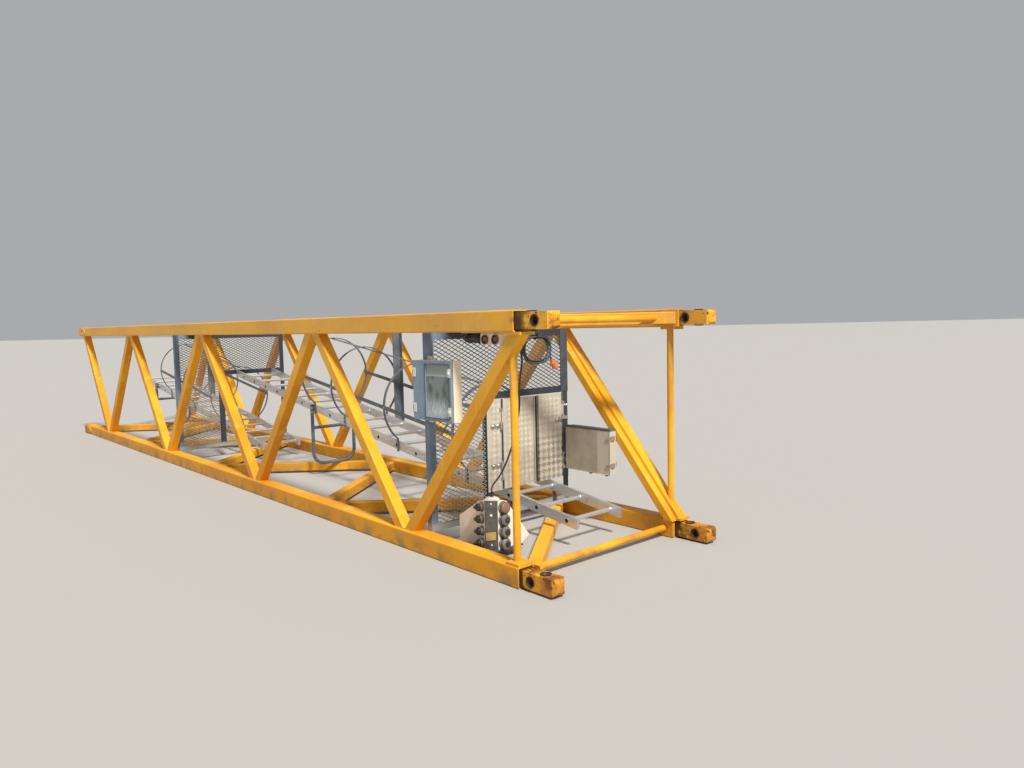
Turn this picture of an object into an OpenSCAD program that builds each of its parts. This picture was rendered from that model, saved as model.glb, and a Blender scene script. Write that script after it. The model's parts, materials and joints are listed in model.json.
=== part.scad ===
/* [Mast section] */
// Outer width and height of the square section
mast_w = 1600; // [1400:10:2000]
// Length of the corner tubes, end to end
chord_len = 9910; // [9850:10:10000]
// Outer width of a corner tube
chord_w = 125; // [115:1:140]
// Radius of the corner tubes' long edges
chord_r = 10; // [4:1:18]
// Wall of the corner tubes
chord_t = 8; // [6:1:10]

/* [Lacing] */
// How far the last node lies past the end of the corner tubes
node_over = 50; // [40:1:60]
// Distance from the open end to the middle of the first bar's foot
first_foot = 185; // [180:1:200]
// Outer width of a lacing bar
bar_w = 85; // [60:1:95]
// Radius of the lacing bars' long edges
bar_r = 8; // [3:1:15]
// Wall of the lacing bars
bar_t = 5; // [4:0.5:8]
// Distance from a node to the middle of each bar's foot
foot_shift = 60; // [55:1:90]
// Width of the extra brace in the last bay
brace_w = 58; // [40:1:60]
// Distance from the last bay's bar to the brace, along the section
brace_shift = 12; // [0:1:60]
// Diameter of the round end ties
tie_d = 46; // [30:1:60]
// Distance from the ties' axis to the end of the corner tubes
tie_back = 70; // [40:1:80]
// Thickness of the plates under the end ties
end_plate_t = 16; // [8:1:20]
// Length of the plates under the end ties
end_plate_len = 110; // [100:1:130]
// Length of a plate that carries the foot of a last bar
foot_plate_len = 162; // [158:1:180]

/* [Pinned ends] */
// Clearance on each side of a pin block in the next section's sleeve
block_play = 1.5; // [0.5:0.5:4]
// Length of a pin block past its tube
block_out = 280; // [250:5:330]
// Chamfer round the tip of a pin block
block_chamfer = 18; // [5:1:25]
// Depth of the recess round the foot of a pin block
recess = 45; // [20:1:80]
// Thickness of the plate that carries a pin block inside its tube
base_t = 20; // [10:1:30]
// Diameter of the pin bores
pin_d = 55; // [40:1:58]
// Distance from the tube's end to the nearer pin
pin_near = 92; // [85:1:100]
// Distance between the two crossed pins
pin_step = 75; // [70:1:85]
// Length of the sleeve that takes the next section's block
sleeve_len = 360; // [345:5:400]
// Wall of the sleeve
sleeve_wall = 12; // [8:1:12]
// Thickness of the doubler plates round the sleeve's bores
doubler_t = 8; // [4:1:12]
// Length of a doubler plate
doubler_len = 330; // [300:5:340]
// Width of a doubler plate
doubler_w = 100; // [80:1:105]

/* [Rest platforms] */
// Distance from the end of the corner tubes to the middle of the near platform
platform_back = 1010; // [980:5:1060]
// Distance between the two platforms
platform_step = 5000; // [4950:10:5050]
// Leg of the platform angles
angle_w = 50; // [40:1:60]
// Thickness of the platform angles
angle_t = 5; // [4:0.5:8]
// Thickness of the expanded metal
mesh_t = 4; // [2:0.5:6]
// Side gap between a platform and the section's left bars
platform_gap = 7; // [5:1:15]
// Side gap between a platform and the brace on the right
brace_gap = 3; // [1:1:10]
// Distance from the left side to the post beside the hatch
mid_post_y = 612; // [580:2:640]
// Height of the hatch's upper edge
hatch_top = 985; // [940:5:1040]
// Height of the hatch leaves' lower edge
leaf_low = 315; // [310:5:340]
// Width of the strip that carries the left leaf
strip_w = 82; // [60:1:90]
// Width of the strip that carries the right leaf
strip_right_w = 4; // [2:1:20]
// Width of the left leaf, from its hinge
left_leaf_w = 312; // [280:1:330]
// Thickness of the hatch leaves
leaf_t = 4; // [3:0.5:8]
// Depth of the leaves' folded lips
leaf_lip = 22; // [10:1:30]
// Gap between the two leaves
leaf_gap = 38; // [10:1:50]
// Diameter of the leaf hinges
hinge_d = 14; // [12:1:18]
// Diameter of the hinge pins
hinge_pin_d = 6; // [4:1:7]
// Clearance of a hinge on its pin, on the radius
hinge_play = 0.4; // [0.2:0.1:0.8]

/* [Ladders] */
// Distance from the far platform's middle to the first rung of the long ladder
ladder_start = 266; // [240:2:290]
// Height of that rung above the ground
ladder_z = 961; // [940:1:980]
// Slope of the ladders against the section's axis
ladder_slope = 8.37; // [8:0.01:8.7]
// Distance between rungs
rung_pitch = 300; // [280:1:300]
// Diameter of a rung
rung_d = 30; // [20:1:40]
// Distance from the left side to the near rail
rail_y = 815; // [790:1:840]
// Width over both rails
ladder_w = 470; // [400:1:490]
// Height of a rail
rail_h = 70; // [60:1:80]
// Thickness of a rail
rail_t = 25; // [15:1:30]
// Length of the rails past the last rung
rail_over = 95; // [50:5:120]
// Gap between the long ladder's upper ends and the far platform
rail_end_gap = 6; // [6:1:12]
// Thickness of the hooks that carry a ladder at the platform below it
hook_t = 8; // [5:1:12]
// Diameter of the tube of the stands under the ladders
stand_d = 35; // [30:1:42]
// Radius of a stand's lower corners
stand_r = 120; // [80:5:140]
// Height of a stand's cross tube
stand_bar_z = 500; // [420:10:520]
// Leg of the hangers' angles, across the section
hanger_w = 80; // [50:5:90]

/* [Ladder cages] */
// Radius of the hoops to the middle of their flats
cage_r = 370; // [340:5:380]
// Height of the hoops' centre above the rungs
cage_rise = 345; // [320:5:370]
// Thickness of the hoops' flats
hoop_t = 8; // [6:1:10]
// Width of the hoops' flats
hoop_w = 26; // [20:1:40]
// How far the hoops' legs reach below the rungs
hoop_foot = 50; // [30:5:80]
// Thickness of the long straps
strap_t = 5; // [4:1:8]
// Width of the long straps
strap_w = 34; // [25:1:50]

/* [Cabinet with a window] */
// Distance from the near platform's middle back to the cabinet's hinge side
cabinet_lead = 25; // [10:1:40]
// Length of the cabinet along the section
cabinet_l = 415; // [380:1:440]
// Height of the cabinet
cabinet_h = 390; // [340:1:420]
// Height of the cabinet's lower edge
cabinet_z = 905; // [880:1:930]
// Depth of the cabinet's body
cabinet_d = 66; // [50:1:70]
// Wall of the cabinet
cabinet_wall = 4; // [3:0.5:6]
// Depth of the cabinet's door
door_d = 14; // [10:1:18]
// Width of the door's frame round the window
door_frame = 24; // [16:1:30]
// Width of the door's closed strip beside the hinges
door_strip = 140; // [100:1:160]

/* [Junction box] */
// Distance from the near platform's middle to the junction box
junction_start = 90; // [80:1:130]
// Length of the junction box
junction_l = 435; // [400:1:460]
// Height of the junction box
junction_h = 330; // [300:1:350]
// Depth of the junction box
junction_d = 74; // [60:1:78]
// Height of the junction box's lower edge
junction_z = 400; // [380:1:420]
// Depth of the junction box's cover
cover_t = 12; // [8:1:20]
// Overlap of the cover past the box on each side
cover_over = 6; // [3:1:6]
// Thickness of the flats that carry the junction box
rail_flat_t = 4; // [3:0.5:6]
// Width of the flats that carry the junction box
rail_flat_w = 40; // [30:1:50]

/* [Socket box] */
// Distance from the near platform's middle to the front of the box
sockets_start = 485; // [460:1:500]
// Distance from the left side to the front of the box
sockets_y = 250; // [240:1:280]
// Height of the box's lower edge above the ground
sockets_z = 70; // [60:1:100]
// Direction in which the front of the box looks
sockets_turn = -52; // [-60:1:-40]
// Height of the box
sockets_h = 320; // [300:1:340]
// Width of the narrow front
front_w = 86; // [70:1:100]
// Length of each sloping side
sockets_side = 285; // [260:1:310]
// Angle by which the sides spread from straight back
sockets_spread = 35; // [30:1:40]
// Length of the level top
crown = 80; // [60:1:100]
// Drop of the top towards its end
crown_drop = 14; // [5:1:25]
// Height of the right side at its back end
right_heel = 44; // [30:1:80]
// Cut of the right side's lower back corner
right_cut = 70; // [40:1:100]
// Height of the left side at its back end
left_heel = 180; // [150:1:200]
// Diameter of a socket on the right side
socket_d = 68; // [50:1:70]
// Diameter of a capped socket on the left side
left_socket_d = 54; // [40:1:60]
// Length of a socket
socket_l = 22; // [15:1:30]
// Distance between two sockets
socket_pitch = 79; // [72:1:80]
// Thickness of the shelf under the box
shelf_t = 8; // [5:1:12]

/* [Lead of the socket box] */
// Diameter of the lead
lead_d = 12; // [10:1:14]
// Distance from the box's front back to the lead's gland
gland_back = 30; // [24:1:40]
// Height of the gland with its strain relief
gland_h = 54; // [40:2:60]
// Length of the hanging hank across the section
hank_l = 240; // [220:5:260]
// Height of the hank
hank_h = 180; // [170:5:190]
// Thickness of the hank's bundle
hank_t = 25; // [24:1:28]
// Distance from the left side to the middle of the hank
hank_y = 245; // [240:5:300]
// Distance from the top tie's axis down to the middle of the hank
hank_drop = 168; // [165:1:190]
// Width of the strap that carries the hank
hank_strap_w = 20; // [12:1:30]
// Diameter of the plug
plug_d = 50; // [40:1:60]
// Length of the plug
plug_l = 62; // [50:1:80]

/* [Hidden] */
$fn = 48;
eps = 1;
seat = 0.3;
bars_a_side = 8;
block_reach = chord_len + block_out;
half_pitch = (chord_len + node_over) / bars_a_side;
inner_lo = chord_w;
inner_hi = mast_w - chord_w;
sleeve_in = chord_w - 2 * sleeve_wall;
tube_in = chord_w - 2 * chord_t;
block_w = sleeve_in - 2 * block_play;
tie_x = chord_len - tie_back;
bar_in = chord_w / 2 + bar_w / 2;
near_platform_x = chord_len - platform_back;
far_platform_x = near_platform_x - platform_step;
plat_lo = bar_in + platform_gap;
plat_hi = mast_w - bar_in - brace_w - seat - brace_gap;
hatch_y0 = mid_post_y + angle_w;
hatch_y1 = plat_hi - angle_w;
deck_x = near_platform_x + angle_w / 2;
hinge_x = deck_x + leaf_t + hinge_d / 2;
left_axis_y = hatch_y0 + strip_w + hinge_d / 2;
right_axis_y = hatch_y1 - strip_right_w - hinge_d / 2;
right_leaf_w = right_axis_y - left_axis_y - leaf_gap - left_leaf_w;
leaf_play = 5;
leaf_h = hatch_top - leaf_low - 2 * leaf_play;
knuckle = 80;
short_knuckle = 24;
knuckle_play = 1;
knuckle_end = 90;
knuckle_z = [knuckle_end, leaf_h - knuckle_end - knuckle];
arm_grip = 16;
hinge_arm = hinge_d / 2 + arm_grip;
ladder_x = far_platform_x + ladder_start;
ladder_rungs = 19;
rung_step_x = rung_pitch * cos(ladder_slope);
open_end_margin = 250;
rungs_cut = ceil((open_end_margin - ladder_x + platform_step) / rung_step_x);
stand_at_rung = 5.84;
hanger_at_rung = 8.5;
hoops_at_rung = [6, 8, 11.1, 14.35];
short_first_hoop = 1;
door_gap = 5;
cabinet_x = near_platform_x - cabinet_lead;
cabinet_back = plat_lo - seat;
cabinet_front = cabinet_back - cabinet_d;
door_back = cabinet_front - door_gap;
door_axis_x = cabinet_x - hinge_d / 2 - 2;
door_axis_y = door_back - door_d / 2;
door_knuckle = 26;
tab_t = 4;
door_hinge_end = 65;
door_hinge_z = [door_hinge_end, cabinet_h - door_hinge_end - door_knuckle];
junction_x = near_platform_x + junction_start;
junction_back = mast_w - bar_in - brace_w - rail_flat_t - 4 * seat;
junction_front = junction_back - junction_d;
junction_rail_end = 50;
sockets_x = near_platform_x + sockets_start;
sockets_a_side = 4;
first_socket_z = 34;
socket_from_front = 44;
gland_d = 30;
relief_d = 22;
lead_exit = [sockets_x - gland_back * cos(sockets_turn), sockets_y - gland_back * sin(sockets_turn),
    sockets_z + sockets_h + gland_h + 2 * seat];
hank_z = mast_w - chord_w / 2 - hank_drop;
hank_join = hank_h / 2 - hank_t / 2 - lead_d / 2;
hank_dip = sqrt(pow(hank_h / 2, 2) - pow(hank_join, 2));
lead_end = [tie_x, hank_y - hank_l / 2 + hank_t / 2, hank_z - hank_dip - 2 * seat];
lead_sides = 10;
lead_route = [[0, 0, 0], [0, 0, 20], [4, 12, 45], [16, 34, 75], [35, 55, 115], [56, 68, 165], [80, 76, 215],
    [105, 78, 270], [130, 76, 325], [156, 68, 380], [185, 57, 435], [217, 44, 490], [254, 24, 548],
    [294, -8, 605], [335, -46, 660], [374, -76, 716], [412, -102, 768], [444, -122, 812], [465, -134, 842],
    [473, -136, 870]];
plug_tilt = 36;

// Moves a piece from the open end's lower left corner to the origin under the middle
module placed() {
    translate([-block_reach / 2, -mast_w / 2, 0])
    children();
}

// A square with true round corners
module round_square(w, r) {
    translate([-w / 2 + r, -w / 2])
    square([w - 2 * r, w]);
    translate([-w / 2, -w / 2 + r])
    square([w, w - 2 * r]);
    for (i = [-1, 1], j = [-1, 1])
        translate([i * (w / 2 - r), j * (w / 2 - r)])
        circle(r = r);
}

// A square bar along +X from x = 0
module square_bar(length, w, r) {
    rotate([90, 0, 90])
    linear_extrude(length)
    round_square(w, r);
}

// Puts a child at one of the four corners, side and level being 0 or 1
module corner(side, level) {
    translate([0, side * (mast_w - chord_w) + chord_w / 2, level * (mast_w - chord_w) + chord_w / 2])
    children();
}

// Hollow corner tube behind the sleeve, open at the near end
module chord(side, level) {
    length = chord_len - sleeve_len;
    color("goldenrod")
    placed()
    corner(side, level)
    translate([sleeve_len, 0, 0])
    difference() {
        square_bar(length, chord_w, chord_r);
        translate([-eps, 0, 0])
        square_bar(length + 2 * eps, tube_in, chord_r / 2);
    }
}

// Boat-shaped doubler plate lying on z = 0
module doubler() {
    nose = doubler_w * 0.7;
    linear_extrude(doubler_t)
    polygon([[0, -doubler_w / 2], [doubler_len - nose, -doubler_w / 2], [doubler_len, -doubler_w / 6],
        [doubler_len, doubler_w / 6], [doubler_len - nose, doubler_w / 2], [0, doubler_w / 2]]);
}

// Distance from the tube's end to the pin that runs across, then to the upright one
function cross_pin(side, level) = (side == level) ? pin_near : pin_near + pin_step;
function upright_pin(side, level) = (side == level) ? pin_near + pin_step : pin_near;

// The two crossed pin bores through a piece w wide
module pin_bores(side, level, w) {
    translate([cross_pin(side, level), 0, 0])
    rotate([90, 0, 0])
    cylinder(d = pin_d, h = w, center = true);
    translate([upright_pin(side, level), 0, 0])
    cylinder(d = pin_d, h = w, center = true);
}

// One wall of a sleeve on its +Z side, with or without a doubler
module sleeve_side(w, doubled) {
    intersection() {
        square_bar(sleeve_len, chord_w, chord_r);
        translate([0, -w / 2, chord_w / 2 - sleeve_wall])
        cube([sleeve_len, w, sleeve_wall]);
    }
    if (doubled)
        translate([0, 0, chord_w / 2])
        doubler();
}

// Open sleeve of four plates and an end wall, doubled outside and on the inner side that has no bar's foot
module sleeve(side, level) {
    outward = side == 0 ? 90 : -90;
    inner_w = chord_w - 2 * sleeve_wall - 2 * seat;
    color("goldenrod")
    placed()
    corner(side, level)
    difference() {
        union() {
            rotate([outward, 0, 0])
            sleeve_side(chord_w, true);
            rotate([-outward, 0, 0])
            sleeve_side(chord_w, side != level);
            rotate([level * 180, 0, 0])
            sleeve_side(inner_w, side == level);
            rotate([180 - level * 180, 0, 0])
            sleeve_side(inner_w, false);
            translate([sleeve_len - sleeve_wall, -inner_w / 2, -inner_w / 2])
            cube([sleeve_wall, inner_w, inner_w]);
        }
        pin_bores(side, level, 2 * chord_w);
    }
}

// Side outline of a pin block with its chamfered tip
module block_outline() {
    h = block_w / 2;
    c = block_chamfer;
    reach = block_out + recess;
    polygon([[0, -h], [reach - c, -h], [reach, -h + c], [reach, h - c], [reach - c, h], [0, h]]);
}

// Forged block with two crossed pin bores, on a base plate inside its tube
module pin_block(side, level) {
    color("goldenrod")
    placed()
    corner(side, level)
    translate([chord_len, 0, 0])
    difference() {
        union() {
            intersection() {
                translate([-recess, 0, 0])
                rotate([90, 0, 0])
                linear_extrude(block_w, center = true)
                block_outline();
                translate([-recess, 0, 0])
                linear_extrude(block_w, center = true)
                block_outline();
            }
            translate([-recess - base_t, 0, 0])
            square_bar(base_t, tube_in - 2 * seat, chord_r / 2);
        }
        pin_bores(side, level, 2 * block_w);
    }
}

// One bar of a zigzag in the XY plane, cut flush with the corner tubes
module lacing_bar(k, starts_low, w, r) {
    low = starts_low == (k % 2 == 0);
    xa = k == 0 ? first_foot : k * half_pitch + foot_shift;
    xb = (k + 1) * half_pitch - foot_shift;
    ya = low ? inner_lo : inner_hi;
    yb = low ? inner_hi : inner_lo;
    run = norm([xb - xa, yb - ya]);
    intersection() {
        translate([xa, ya, 0])
        rotate([0, 0, atan2(yb - ya, xb - xa)])
        translate([-w, 0, 0])
        square_bar(run + 2 * w, w, r);
        translate([xa - half_pitch, inner_lo, -w])
        cube([3 * half_pitch, inner_hi - inner_lo, 2 * w]);
    }
}

// The same bar as a hollow section
module hollow_bar(k, starts_low, w, r, wall) {
    difference() {
        lacing_bar(k, starts_low, w, r);
        lacing_bar(k, starts_low, w - 2 * wall, r / 2);
    }
}

// Turns the XY plane of a zigzag into a side, the top or the bottom of the section
module face(name) {
    if (name == "left")
        translate([0, chord_w / 2, 0])
        rotate([90, 0, 0])
        children();
    if (name == "right")
        translate([0, mast_w - chord_w / 2, 0])
        rotate([90, 0, 0])
        children();
    if (name == "top")
        translate([0, 0, mast_w - chord_w / 2])
        children();
    if (name == "bottom")
        translate([0, 0, chord_w / 2])
        children();
}

// The eight bars of one side
module lacing(name, starts_low) {
    color("orange")
    placed()
    difference() {
        face(name)
        for (k = [0:bars_a_side - 1])
            hollow_bar(k, starts_low, bar_w, bar_r, bar_t);
        end_plate_set();
    }
}

// Slimmer brace that lies against the inside of the right side's last bar
module end_brace() {
    wall = 4;
    color("orange")
    placed()
    difference() {
        translate([-brace_shift, -(bar_w + brace_w) / 2 - seat, 0])
        face("right")
        hollow_bar(bars_a_side - 1, true, brace_w, wall, wall);
        end_plate_set();
    }
}

// The two plates at the end of one corner tube; the one under a bar's foot is longer
module end_plate_pair(side, level) {
    across = side == level;
    inset = 5;
    x0 = chord_len - end_plate_len;
    half = chord_w / 2;
    plate_w = chord_w - 2 * inset;
    corner(side, level) {
        translate([x0, -half + inset, level == 0 ? half : -half - end_plate_t])
        cube([across ? end_plate_len : foot_plate_len, plate_w, end_plate_t]);
        translate([x0, side == 0 ? half : -half - end_plate_t, -half + inset])
        cube([across ? foot_plate_len : end_plate_len, end_plate_t, plate_w]);
    }
}

// The plates at the ends of all four corner tubes
module end_plate_set() {
    for (side = [0, 1], level = [0, 1])
        end_plate_pair(side, level);
}

module end_plates() {
    color("orange")
    placed()
    end_plate_set();
}

// Round tie between two plates, coped where it meets the last lacing bar
module end_tie(name, starts_low) {
    lo = inner_lo + end_plate_t;
    hi = inner_hi - end_plate_t;
    face(name)
    difference() {
        translate([tie_x, lo, 0])
        rotate([-90, 0, 0])
        cylinder(d = tie_d, h = hi - lo);
        lacing_bar(bars_a_side - 1, starts_low, bar_w, eps);
    }
}

module end_ties() {
    color("orange")
    placed() {
        end_tie("left", false);
        end_tie("right", true);
        end_tie("top", false);
        end_tie("bottom", true);
    }
}

// Angle section, both legs from its heel at the origin, one along +X and one along +Y
module angle_section() {
    square([angle_w, angle_t]);
    square([angle_t, angle_w]);
}

// Angle along +Z with its heel on the deck plane x = 0 and its legs along -X and +Y
module angle_z(length) {
    linear_extrude(length)
    mirror([1, 0])
    angle_section();
}

// Angle along +Y with its heel on the deck plane x = 0 and its legs along -X and +Z
module angle_y(length) {
    translate([0, length, 0])
    rotate([90, 0, 0])
    linear_extrude(length)
    mirror([1, 0])
    angle_section();
}

// Welded frame of one rest platform, standing between the four corner tubes
module platform_frame(x) {
    high = inner_hi - inner_lo;
    wide = plat_hi - plat_lo;
    color("slategray")
    placed()
    translate([x + angle_w / 2, 0, 0]) {
        translate([0, plat_lo, inner_lo])
        angle_z(high);
        translate([0, plat_hi, inner_lo])
        mirror([0, 1, 0])
        angle_z(high);
        translate([0, plat_lo, inner_lo])
        angle_y(wide);
        translate([0, plat_lo, inner_hi])
        mirror([0, 0, 1])
        angle_y(wide);
        translate([0, mid_post_y, inner_lo])
        angle_z(hatch_top - inner_lo);
        translate([0, mid_post_y, hatch_top])
        angle_y(plat_hi - mid_post_y);
    }
}

// Expanded metal of one platform, as thin panels beside and above the hatch
module platform_mesh(x) {
    low = inner_lo + angle_t + seat;
    wide = plat_hi - plat_lo - 2 * angle_t - 2 * seat;
    color("gray")
    placed()
    translate([x + angle_w / 2 - angle_t - mesh_t, plat_lo + angle_t + seat, 0]) {
        translate([0, 0, low])
        cube([mesh_t, mid_post_y - plat_lo - angle_t - 2 * seat, hatch_top - low]);
        translate([0, 0, hatch_top + angle_t + seat])
        cube([mesh_t, wide, inner_hi - hatch_top - 2 * angle_t - 2 * seat]);
    }
}

// Plates beside the hatch that carry the hinges of its leaves
module hatch_strips() {
    high = hatch_top - leaf_low;
    color("lightgray")
    placed()
    translate([deck_x, 0, leaf_low]) {
        translate([0, hatch_y0 - angle_w, 0])
        cube([leaf_t, strip_w + angle_w, high]);
        translate([0, hatch_y1 - strip_right_w, 0])
        cube([leaf_t, strip_right_w + angle_w, high]);
    }
}

// Bored half of a hinge on the axis z
module moving_knuckle(length) {
    difference() {
        cylinder(d = hinge_d, h = length);
        translate([0, 0, -eps])
        cylinder(d = hinge_pin_d + 2 * hinge_play, h = length + 2 * eps);
    }
}

// Pin with a fixed knuckle above and below the moving one, which starts at z = 0
module fixed_knuckles(length) {
    for (z = [-knuckle_play - short_knuckle, length + knuckle_play])
        translate([0, 0, z])
        cylinder(d = hinge_d, h = short_knuckle);
    translate([0, 0, -knuckle_play - short_knuckle])
    cylinder(d = hinge_pin_d, h = length + 2 * (knuckle_play + short_knuckle));
}

// Leaf w wide from its hinges at y = 0 towards +Y, with a folded lip
module hatch_leaf(w) {
    back = -hinge_d / 2;
    for (z = knuckle_z)
        translate([0, 0, z]) {
            moving_knuckle(knuckle);
            translate([back, hinge_d / 2 - 1, 0])
            cube([leaf_t, hinge_d / 2, knuckle]);
            translate([back, 0, 0])
            difference() {
                cube([leaf_t, hinge_d / 2, knuckle]);
                translate([-back, 0, -eps])
                cylinder(d = hinge_pin_d + 2 * hinge_play, h = knuckle + 2 * eps);
            }
        }
    translate([back, hinge_d / 2 + 3, 0])
    cube([leaf_t, w - hinge_d / 2 - 3, leaf_h]);
    translate([back, w - leaf_t, 0])
    cube([leaf_lip, leaf_t, leaf_h]);
}

// Fixed hinge halves of one leaf, their arms lying on the strip behind them
module leaf_hinges() {
    for (z = knuckle_z)
        translate([0, 0, z]) {
            fixed_knuckles(knuckle);
            for (zz = [-knuckle_play - short_knuckle, knuckle + knuckle_play])
                translate([-hinge_d / 2, -hinge_arm, zz])
                cube([leaf_t, hinge_arm, short_knuckle]);
        }
}

module hatch_hinges() {
    color("gray")
    placed() {
        translate([hinge_x, left_axis_y, leaf_low + leaf_play])
        leaf_hinges();
        translate([hinge_x, right_axis_y, leaf_low + leaf_play])
        mirror([0, 1, 0])
        leaf_hinges();
    }
}

module hatch_leaf_left() {
    color("silver")
    placed()
    translate([hinge_x, left_axis_y, leaf_low + leaf_play])
    hatch_leaf(left_leaf_w);
}

module hatch_leaf_right() {
    color("silver")
    placed()
    translate([hinge_x, right_axis_y, leaf_low + leaf_play])
    mirror([0, 1, 0])
    hatch_leaf(right_leaf_w);
}

// Aluminium ladder along +X, with rungs from first to last and the rails' length past each
module ladder(first, last, over_first) {
    for (y = [0, ladder_w - rail_t])
        translate([first * rung_pitch - over_first, y, -rail_h / 2])
        cube([(last - first) * rung_pitch + over_first + rail_over, rail_t, rail_h]);
    for (i = [first:last])
        translate([i * rung_pitch, rail_t + seat, 0])
        rotate([-90, 0, 0])
        cylinder(d = rung_d, h = ladder_w - 2 * rail_t - 2 * seat);
}

module ladder_long() {
    reach = (ladder_start - angle_w / 2 - rail_end_gap) / cos(ladder_slope);
    color("gainsboro")
    placed()
    translate([ladder_x, rail_y, ladder_z])
    rotate([0, ladder_slope, 0])
    ladder(0, ladder_rungs - 1, reach);
}

module ladder_short() {
    color("gainsboro")
    placed()
    translate([ladder_x - platform_step, rail_y, ladder_z])
    rotate([0, ladder_slope, 0])
    ladder(rungs_cut, ladder_rungs - 1, rail_over);
}

// Height of the long ladder's underside at a distance x from the open end
function ladder_under(x) = ladder_z - (x - ladder_x) * tan(ladder_slope) - rail_h / 2 / cos(ladder_slope);

// Upright piece under one rail, w along the section, its top cut to the ladder's slope
module sloped_post(x, y, w, z0, top) {
    rise = w / 2 * tan(ladder_slope);
    outline = [[-w / 2, z0], [w / 2, z0], [w / 2, top - rise - seat], [-w / 2, top + rise - seat]];
    translate([x, y + rail_t, 0])
    rotate([90, 0, 0])
    linear_extrude(rail_t)
    polygon(outline);
}

// Height of the long ladder's rungs at a distance x from the open end
function rung_line(x) = ladder_z - (x - ladder_x) * tan(ladder_slope);

// Quarter bend of the stands' tube, from the origin down to the left, its centre above
module stand_bend() {
    intersection() {
        rotate([0, 90, 0])
        rotate_extrude()
        translate([stand_r, 0])
        circle(d = stand_d);
        translate([-stand_d, -2 * stand_r, -2 * stand_r])
        cube([2 * stand_d, 2 * stand_r, 2 * stand_r]);
    }
}

// U-shaped stand on a bottom bar that carries both rails of the ladder shift further along
module ladder_stand(x, shift) {
    floor_z = bar_in + stand_d / 2 + seat;
    y0 = rail_y - stand_d / 2 - seat;
    y1 = rail_y + ladder_w - stand_d / 2;
    side_top = rung_line(x + shift) + rail_h / 2;
    under_top = ladder_under(x + shift) - stand_d / 2 * tan(ladder_slope) - seat;
    translate([x, 0, floor_z]) {
        translate([0, y0 + stand_r, stand_r])
        stand_bend();
        translate([0, y1 - stand_r, stand_r])
        mirror([0, 1, 0])
        stand_bend();
        translate([0, y0 + stand_r, 0])
        rotate([-90, 0, 0])
        cylinder(d = stand_d, h = y1 - y0 - 2 * stand_r);
        translate([0, y0, stand_r])
        cylinder(d = stand_d, h = side_top - floor_z - stand_r);
        translate([0, y1, stand_r])
        cylinder(d = stand_d, h = under_top - floor_z - stand_r);
        translate([0, y0, stand_bar_z - floor_z])
        rotate([-90, 0, 0])
        cylinder(d = stand_d - 2 * eps, h = y1 - y0);
    }
}

// Angle from a ladder's right rail up to the upper right corner tube, with an arm at its top
module ladder_hanger(x, shift) {
    y0 = rail_y + ladder_w + seat;
    low = rung_line(x + shift) - rail_h / 2;
    arm_z = inner_hi + angle_t;
    arm_h = 60;
    translate([x, y0, low])
    cube([angle_t, hanger_w, arm_z + arm_h - low]);
    translate([x, y0 + hanger_w - angle_t, low])
    cube([angle_w, angle_t, arm_z + arm_h - low]);
    translate([x, y0, arm_z])
    cube([angle_t, inner_hi - seat - y0, arm_h]);
}

module ladder_stands() {
    color("slategray")
    placed()
    for (shift = [0, platform_step]) {
        ladder_stand(ladder_x + stand_at_rung * rung_step_x - shift, shift);
        ladder_hanger(ladder_x + hanger_at_rung * rung_step_x - shift, shift);
    }
}

// Solid round of radius r on a block that reaches down to the feet, half wide on each side
module hoop_outline(r, half, drop, w) {
    rotate([0, 90, 0])
    cylinder(r = r, h = w, $fn = 96);
    translate([0, -half, -drop])
    cube([w, 2 * half, drop]);
}

// Hoop of flat bar over a ladder, its legs on the outer faces of the rails
module hoop(x, z) {
    leg_y = ladder_w / 2 + seat;
    translate([x - hoop_w / 2, rail_y + ladder_w / 2, z + cage_rise])
    difference() {
        hoop_outline(cage_r + hoop_t / 2, leg_y + hoop_t, cage_rise + hoop_foot, hoop_w);
        translate([-eps, 0, 0])
        hoop_outline(cage_r - hoop_t / 2, leg_y, cage_rise + hoop_foot + eps, hoop_w + 2 * eps);
    }
}

// Long strap from x0 to x1 that follows the slope of the ladder shift further along
module cage_strap(x0, x1, shift, y, h, w, t) {
    z0 = rung_line(x0 + shift) + h;
    z1 = rung_line(x1 + shift) + h;
    translate([0, y + w, 0])
    rotate([90, 0, 0])
    linear_extrude(w)
    polygon([[x0, z0], [x1, z1], [x1, z1 + t], [x0, z0 + t]]);
}

// Cage over one ladder, with a strap at its top and one on each side inside the hoops
module ladder_cage(first, shift) {
    xs = [for (i = [first:len(hoops_at_rung) - 1]) ladder_x + hoops_at_rung[i] * rung_step_x - shift];
    inner = cage_r - hoop_t / 2;
    mid_y = rail_y + ladder_w / 2;
    x0 = xs[0] - hoop_w;
    x1 = xs[len(xs) - 1] + hoop_w;
    lean = hoop_w / 2 * tan(ladder_slope);
    side_gap = inner - sqrt(pow(inner, 2) - pow(strap_w / 2 + lean, 2)) + seat;
    top_h = cage_rise + inner - side_gap - lean - strap_t;
    for (x = xs)
        hoop(x, rung_line(x + shift));
    for (y = [mid_y - inner + side_gap, mid_y + inner - side_gap - strap_t])
        cage_strap(x0, x1, shift, y, cage_rise - strap_w / 2, strap_t, strap_w);
    cage_strap(x0, x1, shift, mid_y - strap_w / 2, top_h, strap_w, strap_t);
}

module ladder_cages() {
    color("dimgray")
    placed() {
        ladder_cage(0, 0);
        ladder_cage(short_first_hoop, platform_step);
    }
}

// Flats on the platforms' lower angles that carry the ladders' rails
module ladder_hooks() {
    color("slategray")
    placed()
    for (shift = [0, platform_step], y = [rail_y, rail_y + ladder_w - rail_t]) {
        x = deck_x + seat + hook_t / 2;
        sloped_post(x - shift, y, hook_t, inner_lo + angle_t, ladder_under(x));
    }
}

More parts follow.
